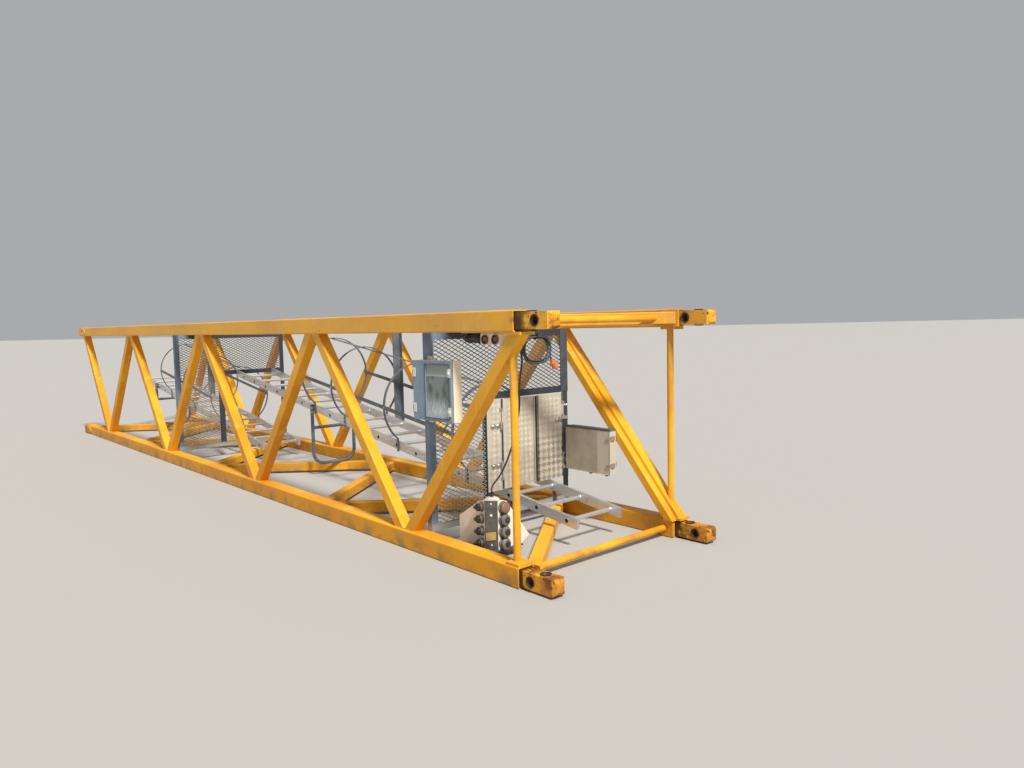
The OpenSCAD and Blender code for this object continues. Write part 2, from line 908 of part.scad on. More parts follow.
// Open-fronted cabinet body on the left platform post
module cabinet_body() {
    inside = [cabinet_l - 2 * cabinet_wall, cabinet_d - cabinet_wall + eps, cabinet_h - 2 * cabinet_wall];
    color("wheat")
    placed()
    translate([cabinet_x, cabinet_front, cabinet_z])
    difference() {
        cube([cabinet_l, cabinet_d, cabinet_h]);
        translate([cabinet_wall, -eps, cabinet_wall])
        cube(inside);
    }
}

// Door with a window opening and the moving halves of its hinges
module cabinet_door() {
    color("lightsteelblue")
    placed() {
        translate([cabinet_x, door_back - door_d, cabinet_z])
        difference() {
            cube([cabinet_l, door_d, cabinet_h]);
            translate([door_strip, -eps, door_frame])
            cube([cabinet_l - door_strip - door_frame, door_d + 2 * eps, cabinet_h - 2 * door_frame]);
        }
        for (z = door_hinge_z)
            translate([door_axis_x, door_axis_y, cabinet_z + z]) {
                moving_knuckle(door_knuckle);
                translate([hinge_d / 2 - tab_t / 2, -tab_t / 2, 0])
                cube([cabinet_x - door_axis_x - hinge_d / 2 + tab_t / 2, tab_t, door_knuckle]);
            }
    }
}

// Clear pane in the door
module cabinet_pane() {
    pane_t = 3;
    color("azure")
    placed()
    translate([cabinet_x + door_strip + seat, door_back - door_d / 2, cabinet_z + door_frame + seat])
    cube([cabinet_l - door_strip - door_frame - 2 * seat, pane_t, cabinet_h - 2 * door_frame - 2 * seat]);
}

// Fixed halves of the cabinet door's hinges, their arms lying on the body's far side
module cabinet_hinges() {
    arm_x = cabinet_x - door_axis_x - cabinet_wall - seat;
    grip = 30;
    color("white")
    placed()
    for (z = door_hinge_z)
        translate([door_axis_x, door_axis_y, cabinet_z + z]) {
            fixed_knuckles(door_knuckle);
            for (zz = [-knuckle_play - short_knuckle, door_knuckle + knuckle_play])
                translate([arm_x, 0, zz])
                cube([cabinet_wall, cabinet_front - door_axis_y + grip, short_knuckle]);
        }
}

// Bent flats from the right platform post that carry the junction box
module junction_rails() {
    x0 = deck_x + leaf_t + seat;
    foot = plat_hi - right_axis_y - hinge_arm - rail_flat_t;
    color("slategray")
    placed()
    for (z = [junction_rail_end, junction_h - junction_rail_end - rail_flat_w])
        translate([x0, junction_back + seat, junction_z + z]) {
            cube([junction_x + junction_l - x0, rail_flat_t, rail_flat_w]);
            translate([0, -foot, 0])
            cube([rail_flat_t, foot + rail_flat_t, rail_flat_w]);
        }
}

// Junction box beside the right platform post
module junction_box() {
    color("tan")
    placed()
    translate([junction_x, junction_front + cover_t, junction_z])
    cube([junction_l, junction_d - cover_t, junction_h]);
}

module junction_cover() {
    color("tan")
    placed()
    translate([junction_x - cover_over, junction_front, junction_z - cover_over])
    cube([junction_l + 2 * cover_over, cover_t - seat, junction_h + 2 * cover_over]);
}

// Puts the middle of the socket box's front edge at the origin, looking along +X
module at_sockets() {
    placed()
    translate([sockets_x, sockets_y, sockets_z])
    rotate([0, 0, sockets_turn])
    children();
}

// Puts the XZ plane on the right side of the socket box, x running back from the front
module right_side() {
    translate([0, front_w / 2, 0])
    rotate([0, 0, 180 - sockets_spread])
    children();
}

// Right half of the socket box, its side's back end heel high and cut back at the bottom
module socket_half(heel, cut) {
    deep = sockets_side * cos(sockets_spread);
    wide = front_w / 2 + sockets_side * sin(sockets_spread);
    slope = [[sockets_side - cut, 0], [sockets_side, heel], [crown, sockets_h - crown_drop], [0, sockets_h]];
    intersection() {
        linear_extrude(sockets_h)
        polygon([[0, 0], [0, front_w / 2], [-deep, wide], [-deep, 0]]);
        right_side()
        translate([0, sockets_side, 0])
        rotate([90, 0, 0])
        linear_extrude(2 * sockets_side)
        polygon(concat([[-front_w, 0]], slope, [[-front_w, sockets_h]]));
    }
}

module socket_box() {
    color("ivory")
    at_sockets() {
        socket_half(right_heel, right_cut);
        mirror([0, 1, 0])
        socket_half(left_heel, eps);
    }
}

module socket_front() {
    rim = 6;
    color("dimgray")
    at_sockets()
    translate([seat, -front_w / 2, 0])
    cube([rim, front_w, sockets_h]);
}

module sockets() {
    color("black")
    at_sockets()
    for (flip = [0, 1])
        mirror([0, flip, 0])
        right_side()
        for (i = [0:sockets_a_side - 1])
            translate([socket_from_front, -seat, first_socket_z + i * socket_pitch])
            rotate([90, 0, 0])
            cylinder(d = flip == 0 ? socket_d : left_socket_d, h = socket_l);
}

// Shelf from the lower left corner tube that carries the socket box
module socket_shelf() {
    reach = 360;
    long = 240;
    color("slategray")
    placed()
    translate([sockets_x - long + front_w / 2, inner_lo + seat, sockets_z - shelf_t - seat])
    cube([long, reach, shelf_t]);
}

// Gland and tapered strain relief on top of the socket box
module lead_gland() {
    base_h = 14;
    color("black")
    at_sockets()
    translate([-gland_back, 0, sockets_h + seat]) {
        cylinder(d = gland_d, h = base_h);
        translate([0, 0, base_h - eps])
        cylinder(d1 = relief_d, d2 = lead_d + 2, h = gland_h - base_h + eps);
    }
}

// The lead's points, stretched to reach from its gland to the hank
function lead_stretch() = [for (i = [0:2]) (lead_end[i] - lead_exit[i]) / lead_route[len(lead_route) - 1][i]];
function lead_point(i) = [for (j = [0:2]) lead_exit[j] + lead_stretch()[j] * lead_route[i][j]];

// A point at share t of the way from the lead's point i to the next
function lead_curve(i, t) =
    let (n = len(lead_route) - 1)
    let (a = lead_point(max(i - 1, 0)), b = lead_point(i), c = lead_point(min(i + 1, n)))
    let (d = lead_point(min(i + 2, n)))
    0.5 * (2 * b + t * (c - a) + t * t * (2 * a - 5 * b + 4 * c - d) + t * t * t * (3 * b - a - 3 * c + d));

// One ring of the lead's tube round the point c, square to the direction t
function lead_ring(c, t) =
    let (u = cross(t, [0, 1, 0]) / norm(cross(t, [0, 1, 0])), v = cross(t, u))
    [for (k = [0:lead_sides - 1])
        c + lead_d / 2 * (cos(k * 360 / lead_sides) * u + sin(k * 360 / lead_sides) * v)];

module lead_cord() {
    last = len(lead_route) - 1;
    line = [for (i = [0:last - 1], t = [0, 0.5]) lead_curve(i, t), lead_point(last)];
    n = len(line);
    rings = [for (i = [0:n - 1])
        let (t = (i == 0 || i == n - 1) ? [0, 0, 1] : line[i + 1] - line[i - 1])
        lead_ring(line[i], t / norm(t))];
    points = [for (ring = rings) each ring];
    sides = [for (i = [0:n - 2], k = [0:lead_sides - 1])
        let (m = (k + 1) % lead_sides)
        [i * lead_sides + k, i * lead_sides + m, (i + 1) * lead_sides + m, (i + 1) * lead_sides + k]];
    start = [for (k = [0:lead_sides - 1]) lead_sides - 1 - k];
    end = [for (k = [0:lead_sides - 1]) (n - 1) * lead_sides + k];
    color("black")
    placed()
    polyhedron(points, concat([start, end], sides));
}

// Outline with round ends, l long and h high
module stadium(l, h) {
    square([l - h, h], center = true);
    for (i = [-1, 1])
        translate([i * (l - h) / 2, 0])
        circle(d = h);
}

// Puts the middle of the hank at the origin and turns the XY plane across the section
module at_hank() {
    placed()
    translate([tie_x, hank_y, hank_z])
    rotate([90, 0, 90])
    children();
}

// The hank of the lead, as one closed ring
module lead_coil() {
    color("black")
    at_hank()
    linear_extrude(hank_t, center = true)
    difference() {
        stadium(hank_l, hank_h);
        stadium(hank_l - 2 * hank_t, hank_h - 2 * hank_t);
    }
}

// Strap round the top tie and the hank's upper run
module lead_strap() {
    strap_in = tie_d / 2 + seat;
    wall = 3;
    run_low = hank_h / 2 - hank_t;
    low = run_low + sqrt(pow(strap_in, 2) - pow(hank_t / 2, 2)) - seat;
    color("black")
    at_hank()
    translate([0, (low + hank_drop) / 2, 0])
    rotate([0, 90, 0])
    rotate([0, 0, 90])
    linear_extrude(hank_strap_w, center = true)
    difference() {
        stadium(hank_drop - low + 2 * (strap_in + wall), 2 * (strap_in + wall));
        stadium(hank_drop - low + 2 * strap_in, 2 * strap_in);
    }
}

// Plug that hangs from the hank's lower right end
module lead_plug() {
    neck = 30;
    from = [hank_l / 2 - hank_t, -hank_h / 6, 0];
    color("orangered")
    at_hank()
    difference() {
        translate(from)
        rotate([0, 0, plug_tilt - 90])
        rotate([0, 90, 0]) {
            cylinder(d = lead_d + 6, h = neck + hank_t + eps);
            translate([0, 0, neck + hank_t])
            cylinder(d = plug_d, h = plug_l);
        }
        linear_extrude(2 * plug_d, center = true)
        stadium(hank_l + 2 * seat, hank_h + 2 * seat);
    }
}

chord(0, 0);  // chord_left_low
chord(0, 1);  // chord_left_top
chord(1, 0);  // chord_right_low
chord(1, 1);  // chord_right_top
sleeve(0, 0);  // sleeve_left_low
sleeve(0, 1);  // sleeve_left_top
sleeve(1, 0);  // sleeve_right_low
sleeve(1, 1);  // sleeve_right_top
pin_block(0, 0);  // pin_block_left_low
pin_block(0, 1);  // pin_block_left_top
pin_block(1, 0);  // pin_block_right_low
pin_block(1, 1);  // pin_block_right_top
lacing("left", false);  // lacing_left
lacing("right", true);  // lacing_right
lacing("top", false);  // lacing_top
lacing("bottom", true);  // lacing_bottom
end_brace();
end_plates();
end_ties();
platform_frame(far_platform_x);  // far_platform_frame
platform_mesh(far_platform_x);  // far_platform_mesh
platform_frame(near_platform_x);  // near_platform_frame
platform_mesh(near_platform_x);  // near_platform_mesh
hatch_strips();
hatch_hinges();
hatch_leaf_left();
hatch_leaf_right();
ladder_long();
ladder_short();
ladder_stands();
ladder_hooks();
ladder_cages();
cabinet_body();
cabinet_door();
cabinet_pane();
cabinet_hinges();
junction_rails();
junction_box();
junction_cover();
socket_shelf();
socket_box();
socket_front();
sockets();
lead_gland();
lead_cord();
lead_coil();
lead_strap();
lead_plug();
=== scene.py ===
import bpy
import json
import math
import random
from mathutils import Matrix, Vector


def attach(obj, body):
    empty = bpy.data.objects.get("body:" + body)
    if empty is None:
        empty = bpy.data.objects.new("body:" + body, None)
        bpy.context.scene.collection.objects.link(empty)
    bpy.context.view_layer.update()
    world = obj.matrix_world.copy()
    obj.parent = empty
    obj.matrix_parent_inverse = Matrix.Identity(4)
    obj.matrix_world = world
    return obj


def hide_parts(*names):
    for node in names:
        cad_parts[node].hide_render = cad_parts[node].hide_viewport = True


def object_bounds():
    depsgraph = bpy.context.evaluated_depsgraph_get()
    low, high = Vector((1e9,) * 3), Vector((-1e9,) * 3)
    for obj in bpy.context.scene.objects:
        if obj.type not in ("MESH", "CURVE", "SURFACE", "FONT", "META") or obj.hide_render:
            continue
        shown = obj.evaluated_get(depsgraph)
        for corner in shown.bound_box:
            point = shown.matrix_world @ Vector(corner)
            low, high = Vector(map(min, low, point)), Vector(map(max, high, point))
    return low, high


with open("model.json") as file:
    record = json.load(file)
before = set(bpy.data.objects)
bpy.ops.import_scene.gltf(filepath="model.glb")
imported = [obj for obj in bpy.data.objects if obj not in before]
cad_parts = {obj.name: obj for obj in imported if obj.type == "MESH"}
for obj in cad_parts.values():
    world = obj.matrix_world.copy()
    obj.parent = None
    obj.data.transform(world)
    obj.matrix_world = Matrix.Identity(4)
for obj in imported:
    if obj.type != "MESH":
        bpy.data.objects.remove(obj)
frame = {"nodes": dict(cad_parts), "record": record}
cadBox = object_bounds()
nodes = frame["nodes"]
print("frame loaded")

section = {
    "openEnd": cadBox[0][0],  # the sleeves' end, in the frame
    "leftSide": -0.8,
    "width": 1.6,
    "cornerTube": 0.125,
    "deck": 8.925,  # the near platform's flat side, from the open end
    "platformStep": 5.0,
}
random.seed(7)


def at(x, y, z):
    return Vector((x + section["openEnd"], y + section["leftSide"], z))


view = {
    "place": (8.0114, -3.6535, 1.5204),  # where the photographer stood
    "yaw": 138.380,  # degrees from +X, turning towards +Y
    "pitch": -4.492,
    "roll": -1.250,
    "focal": 765.136,  # in pixels of a frame 1024 wide
    "frameWidth": 1024,
}


def makeCamera():
    yaw, pitch, roll = (math.radians(view[k]) for k in ("yaw", "pitch", "roll"))
    ahead = Vector((math.cos(pitch) * math.cos(yaw), math.cos(pitch) * math.sin(yaw), math.sin(pitch)))
    side = Vector((math.sin(yaw), -math.cos(yaw), 0))
    above = side.cross(ahead)
    right = math.cos(roll) * side + math.sin(roll) * above
    up = -math.sin(roll) * side + math.cos(roll) * above
    data = bpy.data.cameras.new("photoCamera")
    data.sensor_width = 36
    data.lens = view["focal"] / view["frameWidth"] * 36
    data.clip_end = 200
    camera = bpy.data.objects.new("photoCamera", data)
    bpy.context.scene.collection.objects.link(camera)
    turn = Matrix((right, up, -ahead)).transposed().to_4x4()
    camera.matrix_world = Matrix.Translation(view["place"]) @ turn
    bpy.context.scene.camera = camera


makeCamera()
print("camera placed")


class Finish:
    # a material's nodes; inputs take a number, a colour or another node's output

    def __init__(self, name):
        self.made = bpy.data.materials.new(name)
        self.made.use_nodes = True
        self.tree = self.made.node_tree
        self.surface = self.tree.nodes["Principled BSDF"]
        source = self.tree.nodes.new("ShaderNodeTexCoord")
        self.where = source.outputs["Object"]
        self.x, self.y, self.z = self.node("ShaderNodeSeparateXYZ", {0: self.where}).outputs
        facing = self.node("ShaderNodeSeparateXYZ", {0: source.outputs["Normal"]}).outputs
        self.faceY, self.faceZ = facing[1], facing[2]

    def node(self, kind, inputs=None, **settings):
        made = self.tree.nodes.new(kind)
        for key, value in settings.items():
            setattr(made, key, value)
        for key, value in (inputs or {}).items():
            self.put(made.inputs[key], value)
        return made

    def put(self, socket, value):
        if isinstance(value, bpy.types.NodeSocket):
            self.tree.links.new(value, socket)
        else:
            socket.default_value = value

    def set(self, name, value):
        self.put(self.surface.inputs[name], value)

    def maths(self, operation, a, b=0.0, clamp=False):
        return self.node("ShaderNodeMath", {0: a, 1: b}, operation=operation, use_clamp=clamp).outputs[0]

    def times(self, a, b):
        return self.maths("MULTIPLY", a, b)

    def mix(self, amount, a, b):
        a, b = [(*c, 1) if isinstance(c, tuple) else c for c in (a, b)]
        return self.node("ShaderNodeMix", {0: amount, 6: a, 7: b}, data_type="RGBA").outputs[2]

    def span(self, value, low, high, toLow=0.0, toHigh=1.0):
        made = self.node("ShaderNodeMapRange", {0: value, 1: low, 2: high, 3: toLow, 4: toHigh})
        made.interpolation_type = "SMOOTHSTEP"
        return made.outputs[0]

    def grain(self, size, detail=4.0, stretch=(1, 1, 1), rough=0.55):
        scaled = self.node("ShaderNodeMapping", {"Vector": self.where, "Scale": stretch})
        inputs = {"Vector": scaled.outputs[0], "Scale": 1 / size, "Detail": detail, "Roughness": rough}
        return self.node("ShaderNodeTexNoise", inputs).outputs[0]

    def bump(self, height, depth):
        made = self.node("ShaderNodeBump", {"Height": height, "Distance": depth, "Strength": 0.6})
        self.set("Normal", made.outputs[0])

    def edges(self, radius):
        # 1 along the edges, 0 on the flats
        rounded = self.node("ShaderNodeBevel", {"Radius": radius}, samples=4)
        plain = self.tree.nodes.new("ShaderNodeNewGeometry")
        inputs = {0: rounded.outputs[0], 1: plain.outputs["Normal"]}
        bent = self.node("ShaderNodeVectorMath", inputs, operation="DOT_PRODUCT").outputs["Value"]
        return self.span(bent, 0.995, 0.93)


yellow = {
    "base": (0.88, 0.430, 0.024),
    "deep": (0.66, 0.270, 0.010),
    "pale": (0.95, 0.60, 0.12),
    "tan": (0.74, 0.45, 0.14),
    "rust": (0.13, 0.042, 0.014),
    "orangeRust": (0.42, 0.13, 0.02),
    "grease": (0.030, 0.017, 0.011),
    "dent": (0.085, 0.028, 0.012),
    "soil": (0.22, 0.15, 0.07),
    "roughness": (0.36, 0.62),
}


def yellowPaint(name="yellowPaint", endRust=1.0, tan=0.5, foot=0.0):
    on = Finish(name)
    broad = on.grain(0.9, 5)
    patches = on.grain(0.16, 8, rough=0.62)
    fine = on.grain(0.012, 6)
    colour = on.mix(on.span(broad, 0.35, 0.68), yellow["base"], yellow["deep"])
    colour = on.mix(on.span(patches, 0.52, 0.75, 0, 0.6), colour, yellow["pale"])
    # painted light: the side that faces -Y is made paler tan, more so higher up
    side = on.span(on.faceY, -0.95, -0.3, 1, 0)
    sideLightTan = on.times(side, on.span(broad, 0.3, 0.6, 0.2, tan))
    sideLightTan = on.times(sideLightTan, on.span(on.z, 0.9, 1.45, 0.15, 1.0))
    colour = on.mix(sideLightTan, colour, yellow["tan"])
    # rain streaks down the upright sides
    streaks = on.grain(0.05, 5, (6, 6, 0.35))
    upright = on.span(on.maths("ABSOLUTE", on.faceZ), 0.2, 0.6, 1, 0)
    wash = on.times(upright, on.span(streaks, 0.56, 0.72, 0, 0.45))
    colour = on.mix(wash, colour, yellow["pale"])
    stain = on.times(upright, on.span(streaks, 0.44, 0.3, 0, 0.4))
    colour = on.mix(stain, colour, yellow["deep"])
    # painted highlight: a light line along the edges; rust chips along them
    edge = on.edges(0.007)
    colour = on.mix(on.times(edge, 0.4), colour, yellow["pale"])
    chips = on.times(edge, on.span(patches, 0.56, 0.64))
    colour = on.mix(chips, colour, yellow["rust"])
    # painted shade: the lower bars' sides that face -Y are darkened to the deep colour
    shaded = on.times(on.span(on.z, 0.30, 0.05), on.span(on.faceY, -0.3, -0.9))
    colour = on.mix(on.times(shaded, 0.6), colour, yellow["deep"])
    # soil splashed up from the ground
    low = on.times(on.span(on.z, 0.16, 0.0), on.span(patches, 0.4, 0.66))
    colour = on.mix(on.times(low, 0.75), colour, yellow["soil"])
    # rust scattered over the bars and gathered at both ends
    spots = on.span(on.grain(0.03, 9, rough=0.7), 0.66 - 0.07 * foot, 0.72 - 0.05 * foot, 0, 0.85)
    near = on.span(on.x, 4.66, 5.0)
    far = on.span(on.x, -4.9, -5.09)
    ends = on.times(on.maths("ADD", near, far, clamp=True), endRust)
    worn = on.times(ends, on.span(patches, 0.38 + 0.08 * foot, 0.62 - 0.04 * foot))
    colour = on.mix(on.times(worn, 0.7), colour, yellow["orangeRust"])
    deepWear = on.times(ends, on.span(patches, 0.52 + 0.04 * foot, 0.66 - 0.02 * foot))
    rusty = on.maths("MAXIMUM", spots, on.maths("MAXIMUM", chips, deepWear))
    colour = on.mix(rusty, colour, yellow["rust"])
    if foot:
        # old grease and rust round the foot of a block
        greasy = on.times(on.span(on.x, 4.965, 4.850), on.span(patches, 0.42, 0.52))
        greasy = on.maths("MAXIMUM", greasy, on.span(on.x, 4.846, 4.838))
        colour = on.mix(on.times(greasy, foot), colour, yellow["grease"])
        # dents where the hammer and the pin took the paint off
        dents = on.grain(0.016, 4, rough=0.55)
        dented = on.times(on.span(dents, 0.60, 0.63), on.span(patches, 0.36, 0.46))
        colour = on.mix(on.times(dented, 0.9), colour, yellow["dent"])
    on.set("Base Color", colour)
    rough = on.span(fine, 0.3, 0.7, *yellow["roughness"])
    on.set("Roughness", on.maths("MAXIMUM", rough, on.times(rusty, 0.85)))
    on.set("Specular IOR Level", 0.22)
    on.bump(on.maths("ADD", fine, on.times(rusty, 0.6)), 0.0006)
    return on.made


def wornPaint(name, look):
    on = Finish(name)
    patches = on.grain(0.12, 7, rough=0.62)
    fine = on.grain(0.008, 6)
    colour = on.mix(on.span(patches, 0.35, 0.68), look["base"], look["second"])
    for axis, low, high, other in look.get("bands", ()):
        # another colour from low to high along one axis
        colour = on.mix(on.span((on.x, on.y, on.z)[axis], low, high), colour, other)
    streaks = on.grain(0.03, 5, (6, 6, 0.3))
    upright = on.span(on.maths("ABSOLUTE", on.faceZ), 0.2, 0.6, 1, 0)
    stain = on.times(upright, on.span(streaks, 0.55, 0.75, 0, 0.4))
    colour = on.mix(stain, colour, look["dirt"])
    edge = on.edges(0.003)
    chips = on.times(edge, on.span(patches, 0.5, 0.6, 0, 0.8))
    colour = on.mix(chips, colour, look["under"])
    spots = on.span(on.grain(0.02, 9, rough=0.72), 0.65, 0.72, 0, look["spots"])
    colour = on.mix(spots, colour, look["under"])
    on.set("Base Color", colour)
    on.set("Roughness", on.span(fine, 0.3, 0.7, *look["roughness"]))
    on.set("Metallic", look.get("metallic", 0.0))
    on.bump(fine, 0.0004)
    return on.made


def galvanised(name, light, dark, reflectedTan, roughness, upperShade):
    on = Finish(name)
    cells = on.node("ShaderNodeTexVoronoi", {"Vector": on.where, "Scale": 70}, feature="F1")
    spangle = on.node("ShaderNodeSeparateColor", {0: cells.outputs["Color"]}).outputs[0]
    patches = on.grain(0.2, 7, rough=0.6)
    colour = on.mix(spangle, light, dark)
    # painted reflection: tan patches stand for the yellow bars reflected in the zinc
    colour = on.mix(on.span(patches, 0.4, 0.7, 0, 0.7), colour, reflectedTan)
    # painted shade: the part above is darkened nearly to black
    colour = on.mix(on.span(on.z, 0.55, 1.15, 0, 0.85), colour, upperShade)
    on.set("Base Color", colour)
    on.set("Roughness", on.span(spangle, 0, 1, *roughness))
    on.set("Metallic", 0.5)
    on.bump(on.grain(0.004, 5), 0.0003)
    return on.made


def drawnMetal(name, light, dark, roughness, along=(0.5, 12, 12)):
    on = Finish(name)
    lines = on.grain(0.05, 6, along)
    patches = on.grain(0.14, 7, rough=0.65)
    colour = on.mix(on.span(lines, 0.3, 0.7), light, dark)
    colour = on.mix(on.span(patches, 0.58, 0.75, 0, 0.4), colour, (0.24, 0.21, 0.17))
    on.set("Base Color", colour)
    on.set("Roughness", on.span(lines, 0.3, 0.7, *roughness))
    on.set("Metallic", 0.8)
    on.bump(lines, 0.0002)
    return on.made


def moulded(name, base, second, roughness, size=0.02, bump=0.0002):
    on = Finish(name)
    patches = on.grain(size, 6, rough=0.6)
    on.set("Base Color", on.mix(on.span(patches, 0.35, 0.7), base, second))
    on.set("Roughness", on.span(patches, 0.3, 0.7, *roughness))
    on.bump(on.grain(0.0015, 3), bump)
    return on.made


def windowGlass(name):
    on = Finish(name)
    dust = on.span(on.grain(0.09, 6), 0.4, 0.75, 0.06, 0.3)
    on.set("Roughness", dust)
    # chalky film that the rain left on the lower part
    streaks = on.grain(0.02, 5, (6, 6, 0.4))
    film = on.span(on.z, 1.10, 0.97)
    film = on.times(film, on.span(streaks, 0.36, 0.66, 0.25, 1.0))
    blots = on.grain(0.06, 3, (1, 1, 0.6))
    colour = on.mix(on.span(blots, 0.40, 0.58), (0.14, 0.175, 0.175), (0.29, 0.34, 0.335))
    # cleaner strip under the head of the window, above a light line that is a painted highlight of a ledge
    head = on.span(on.z, 1.203, 1.208)
    colour = on.mix(head, colour, (0.40, 0.45, 0.42))
    litLedge = on.times(on.span(on.z, 1.193, 1.197), on.span(on.z, 1.208, 1.204))
    colour = on.mix(on.times(litLedge, 0.7), colour, (0.66, 0.70, 0.66))
    colour = on.mix(film, colour, (0.88, 0.98, 1.0))
    on.set("Base Color", colour)
    on.set("IOR", 1.45)
    on.set("Alpha", 0.68)
    return on.made


steelLook = {
    "base": (0.060, 0.072, 0.095),
    "second": (0.095, 0.110, 0.140),
    "dirt": (0.04, 0.038, 0.036),
    "under": (0.14, 0.08, 0.045),
    "roughness": (0.42, 0.65),
    "metallic": 0.25,
    "spots": 0.35,
}
cageLook = {
    "base": (0.115, 0.135, 0.170),
    "second": (0.175, 0.20, 0.235),
    "dirt": (0.06, 0.06, 0.06),
    "under": (0.15, 0.09, 0.05),
    "roughness": (0.42, 0.65),
    "metallic": 0.25,
    "spots": 0.4,
}
postLook = {
    "base": (0.20, 0.28, 0.38),  # the left post, washed by the rain
    "second": (0.14, 0.20, 0.29),
    "dirt": (0.06, 0.06, 0.065),
    "under": (0.16, 0.10, 0.06),
    "roughness": (0.42, 0.65),
    "metallic": 0.25,
    "spots": 0.3,
    "bands": (
        (1, -0.60, -0.50, (0.040, 0.047, 0.064)),  # the posts further right are nearly black
        (2, 0.185, 0.16, (0.34, 0.35, 0.35)),
    ),
}
creamLook = {
    "base": (0.94, 0.86, 0.64),
    "second": (0.88, 0.79, 0.59),
    "dirt": (0.35, 0.29, 0.2),
    "under": (0.32, 0.28, 0.22),
    "roughness": (0.35, 0.55),
    "spots": 0.35,
}
socketLook = {
    "base": (0.90, 0.85, 0.74),
    "second": (0.80, 0.75, 0.66),
    "dirt": (0.40, 0.35, 0.27),
    "under": (0.16, 0.13, 0.10),
    "roughness": (0.35, 0.55),
    "spots": 0.6,
}
doorLook = {
    "base": (0.235, 0.32, 0.42),
    "second": (0.19, 0.265, 0.35),
    "dirt": (0.12, 0.15, 0.19),
    "under": (0.4, 0.45, 0.5),
    "roughness": (0.38, 0.55),
    "spots": 0.2,
}
junctionLook = {
    "base": (0.44, 0.40, 0.31),
    "second": (0.35, 0.32, 0.25),
    "dirt": (0.15, 0.13, 0.10),
    "under": (0.17, 0.15, 0.13),
    "roughness": (0.4, 0.6),
    "spots": 0.75,
    "bands": (
        (0, 4.205, 4.215, (0.56, 0.52, 0.42)),  # the cover's lighter right part
        (2, 0.712, 0.722, (0.12, 0.115, 0.105)),
    ),
}
plate = {
    "light": (0.60, 0.56, 0.47),
    "dark": (0.29, 0.265, 0.215),
    "grime": (0.40, 0.36, 0.28),
    "painted": (0.045, 0.050, 0.060),
    "diamond": 0.052,  # a diamond's height and width
}


def chequerPlate(name):
    # rolled plate: every other diamond of bars catches less light, more so near the ground
    on = Finish(name)
    pitch = plate["diamond"]
    rising = on.maths("ADD", on.y, on.z)
    falling = on.maths("SUBTRACT", on.y, on.z)
    cells = [on.maths("FLOOR", on.maths("DIVIDE", line, pitch)) for line in (rising, falling)]
    odd = on.maths("PINGPONG", on.maths("ADD", *cells), 1.0)
    patches = on.grain(0.2, 7, rough=0.6)
    lower = on.span(on.z, 0.85, 0.50, 0.12, 0.85)
    lower = on.times(lower, on.span(on.y, 0.265, 0.300, 0.35, 1.0))
    colour = on.mix(on.times(odd, lower), plate["light"], plate["dark"])
    colour = on.mix(on.span(patches, 0.45, 0.75, 0, 0.6), colour, plate["grime"])
    # the right strip is painted like the post behind it
    colour = on.mix(on.span(on.y, 0.5800, 0.5804), colour, plate["painted"])
    on.set("Base Color", colour)
    on.set("Roughness", on.span(patches, 0.3, 0.7, 0.42, 0.6))
    on.set("Metallic", 0.2)
    on.bump(on.grain(0.004, 5), 0.0003)
    return on.made


materials = {
    "yellow": yellowPaint(),
    "forged": yellowPaint("forgedYellow", 0.75, 0.3, 0.92),
    "steel": wornPaint("darkSteel", steelLook),
    "cage": wornPaint("cageSteel", cageLook),
    "post": wornPaint("postSteel", postLook),
    "cream": wornPaint("creamPaint", creamLook),
    "socketPaint": wornPaint("socketPaint", socketLook),
    "door": wornPaint("doorPaint", doorLook),
    "junction": wornPaint("junctionPaint", junctionLook),
    # the last colour of the mesh is painted shade for its top part
    # the tan colour of the mesh is a painted reflection
    "meshZinc": galvanised("meshSteel", (0.55, 0.54, 0.48), (0.36, 0.37, 0.36), (0.42, 0.36, 0.22),
                           (0.4, 0.55), (0.10, 0.12, 0.15)),
    "chequer": chequerPlate("chequerPlate"),
    "aluminium": drawnMetal("ladderAluminium", (0.80, 0.84, 0.87), (0.58, 0.61, 0.65), (0.28, 0.46)),
    "bolt": drawnMetal("boltZinc", (0.62, 0.6, 0.55), (0.4, 0.38, 0.34), (0.3, 0.5), (6, 6, 6)),
    "white": moulded("whitePlastic", (0.78, 0.77, 0.72), (0.62, 0.6, 0.54), (0.35, 0.5)),
    "black": moulded("blackPlastic", (0.022, 0.022, 0.025), (0.05, 0.048, 0.045), (0.35, 0.55)),
    "grease": moulded("oldGrease", (0.030, 0.017, 0.011), (0.105, 0.048, 0.020), (0.5, 0.8), 0.03, 0.0006),
    "dark": moulded("darkHollow", (0.012, 0.011, 0.01), (0.03, 0.026, 0.02), (0.7, 0.9)),
    "spine": moulded("greyPlate", (0.075, 0.072, 0.068), (0.13, 0.125, 0.115), (0.4, 0.6), 0.05),
    "grey": moulded("socketGrey", (0.20, 0.185, 0.155), (0.115, 0.105, 0.09), (0.35, 0.6), 0.04),
    "tan": moulded("tanPad", (0.55, 0.36, 0.13), (0.42, 0.27, 0.10), (0.45, 0.65), 0.03),
    "brown": moulded("socketBrown", (0.26, 0.13, 0.08), (0.17, 0.1, 0.07), (0.35, 0.6), 0.04),
    "panelGrey": moulded("panelGrey", (0.55, 0.58, 0.55), (0.42, 0.45, 0.43), (0.35, 0.5), 0.08),
    "orange": moulded("orangePlastic", (0.85, 0.2, 0.06), (0.65, 0.14, 0.04), (0.35, 0.5)),
    "rubber": moulded("cableRubber", (0.03, 0.032, 0.036), (0.075, 0.075, 0.08), (0.5, 0.7), 0.05),
    "glass": windowGlass("cabinetGlass"),
}
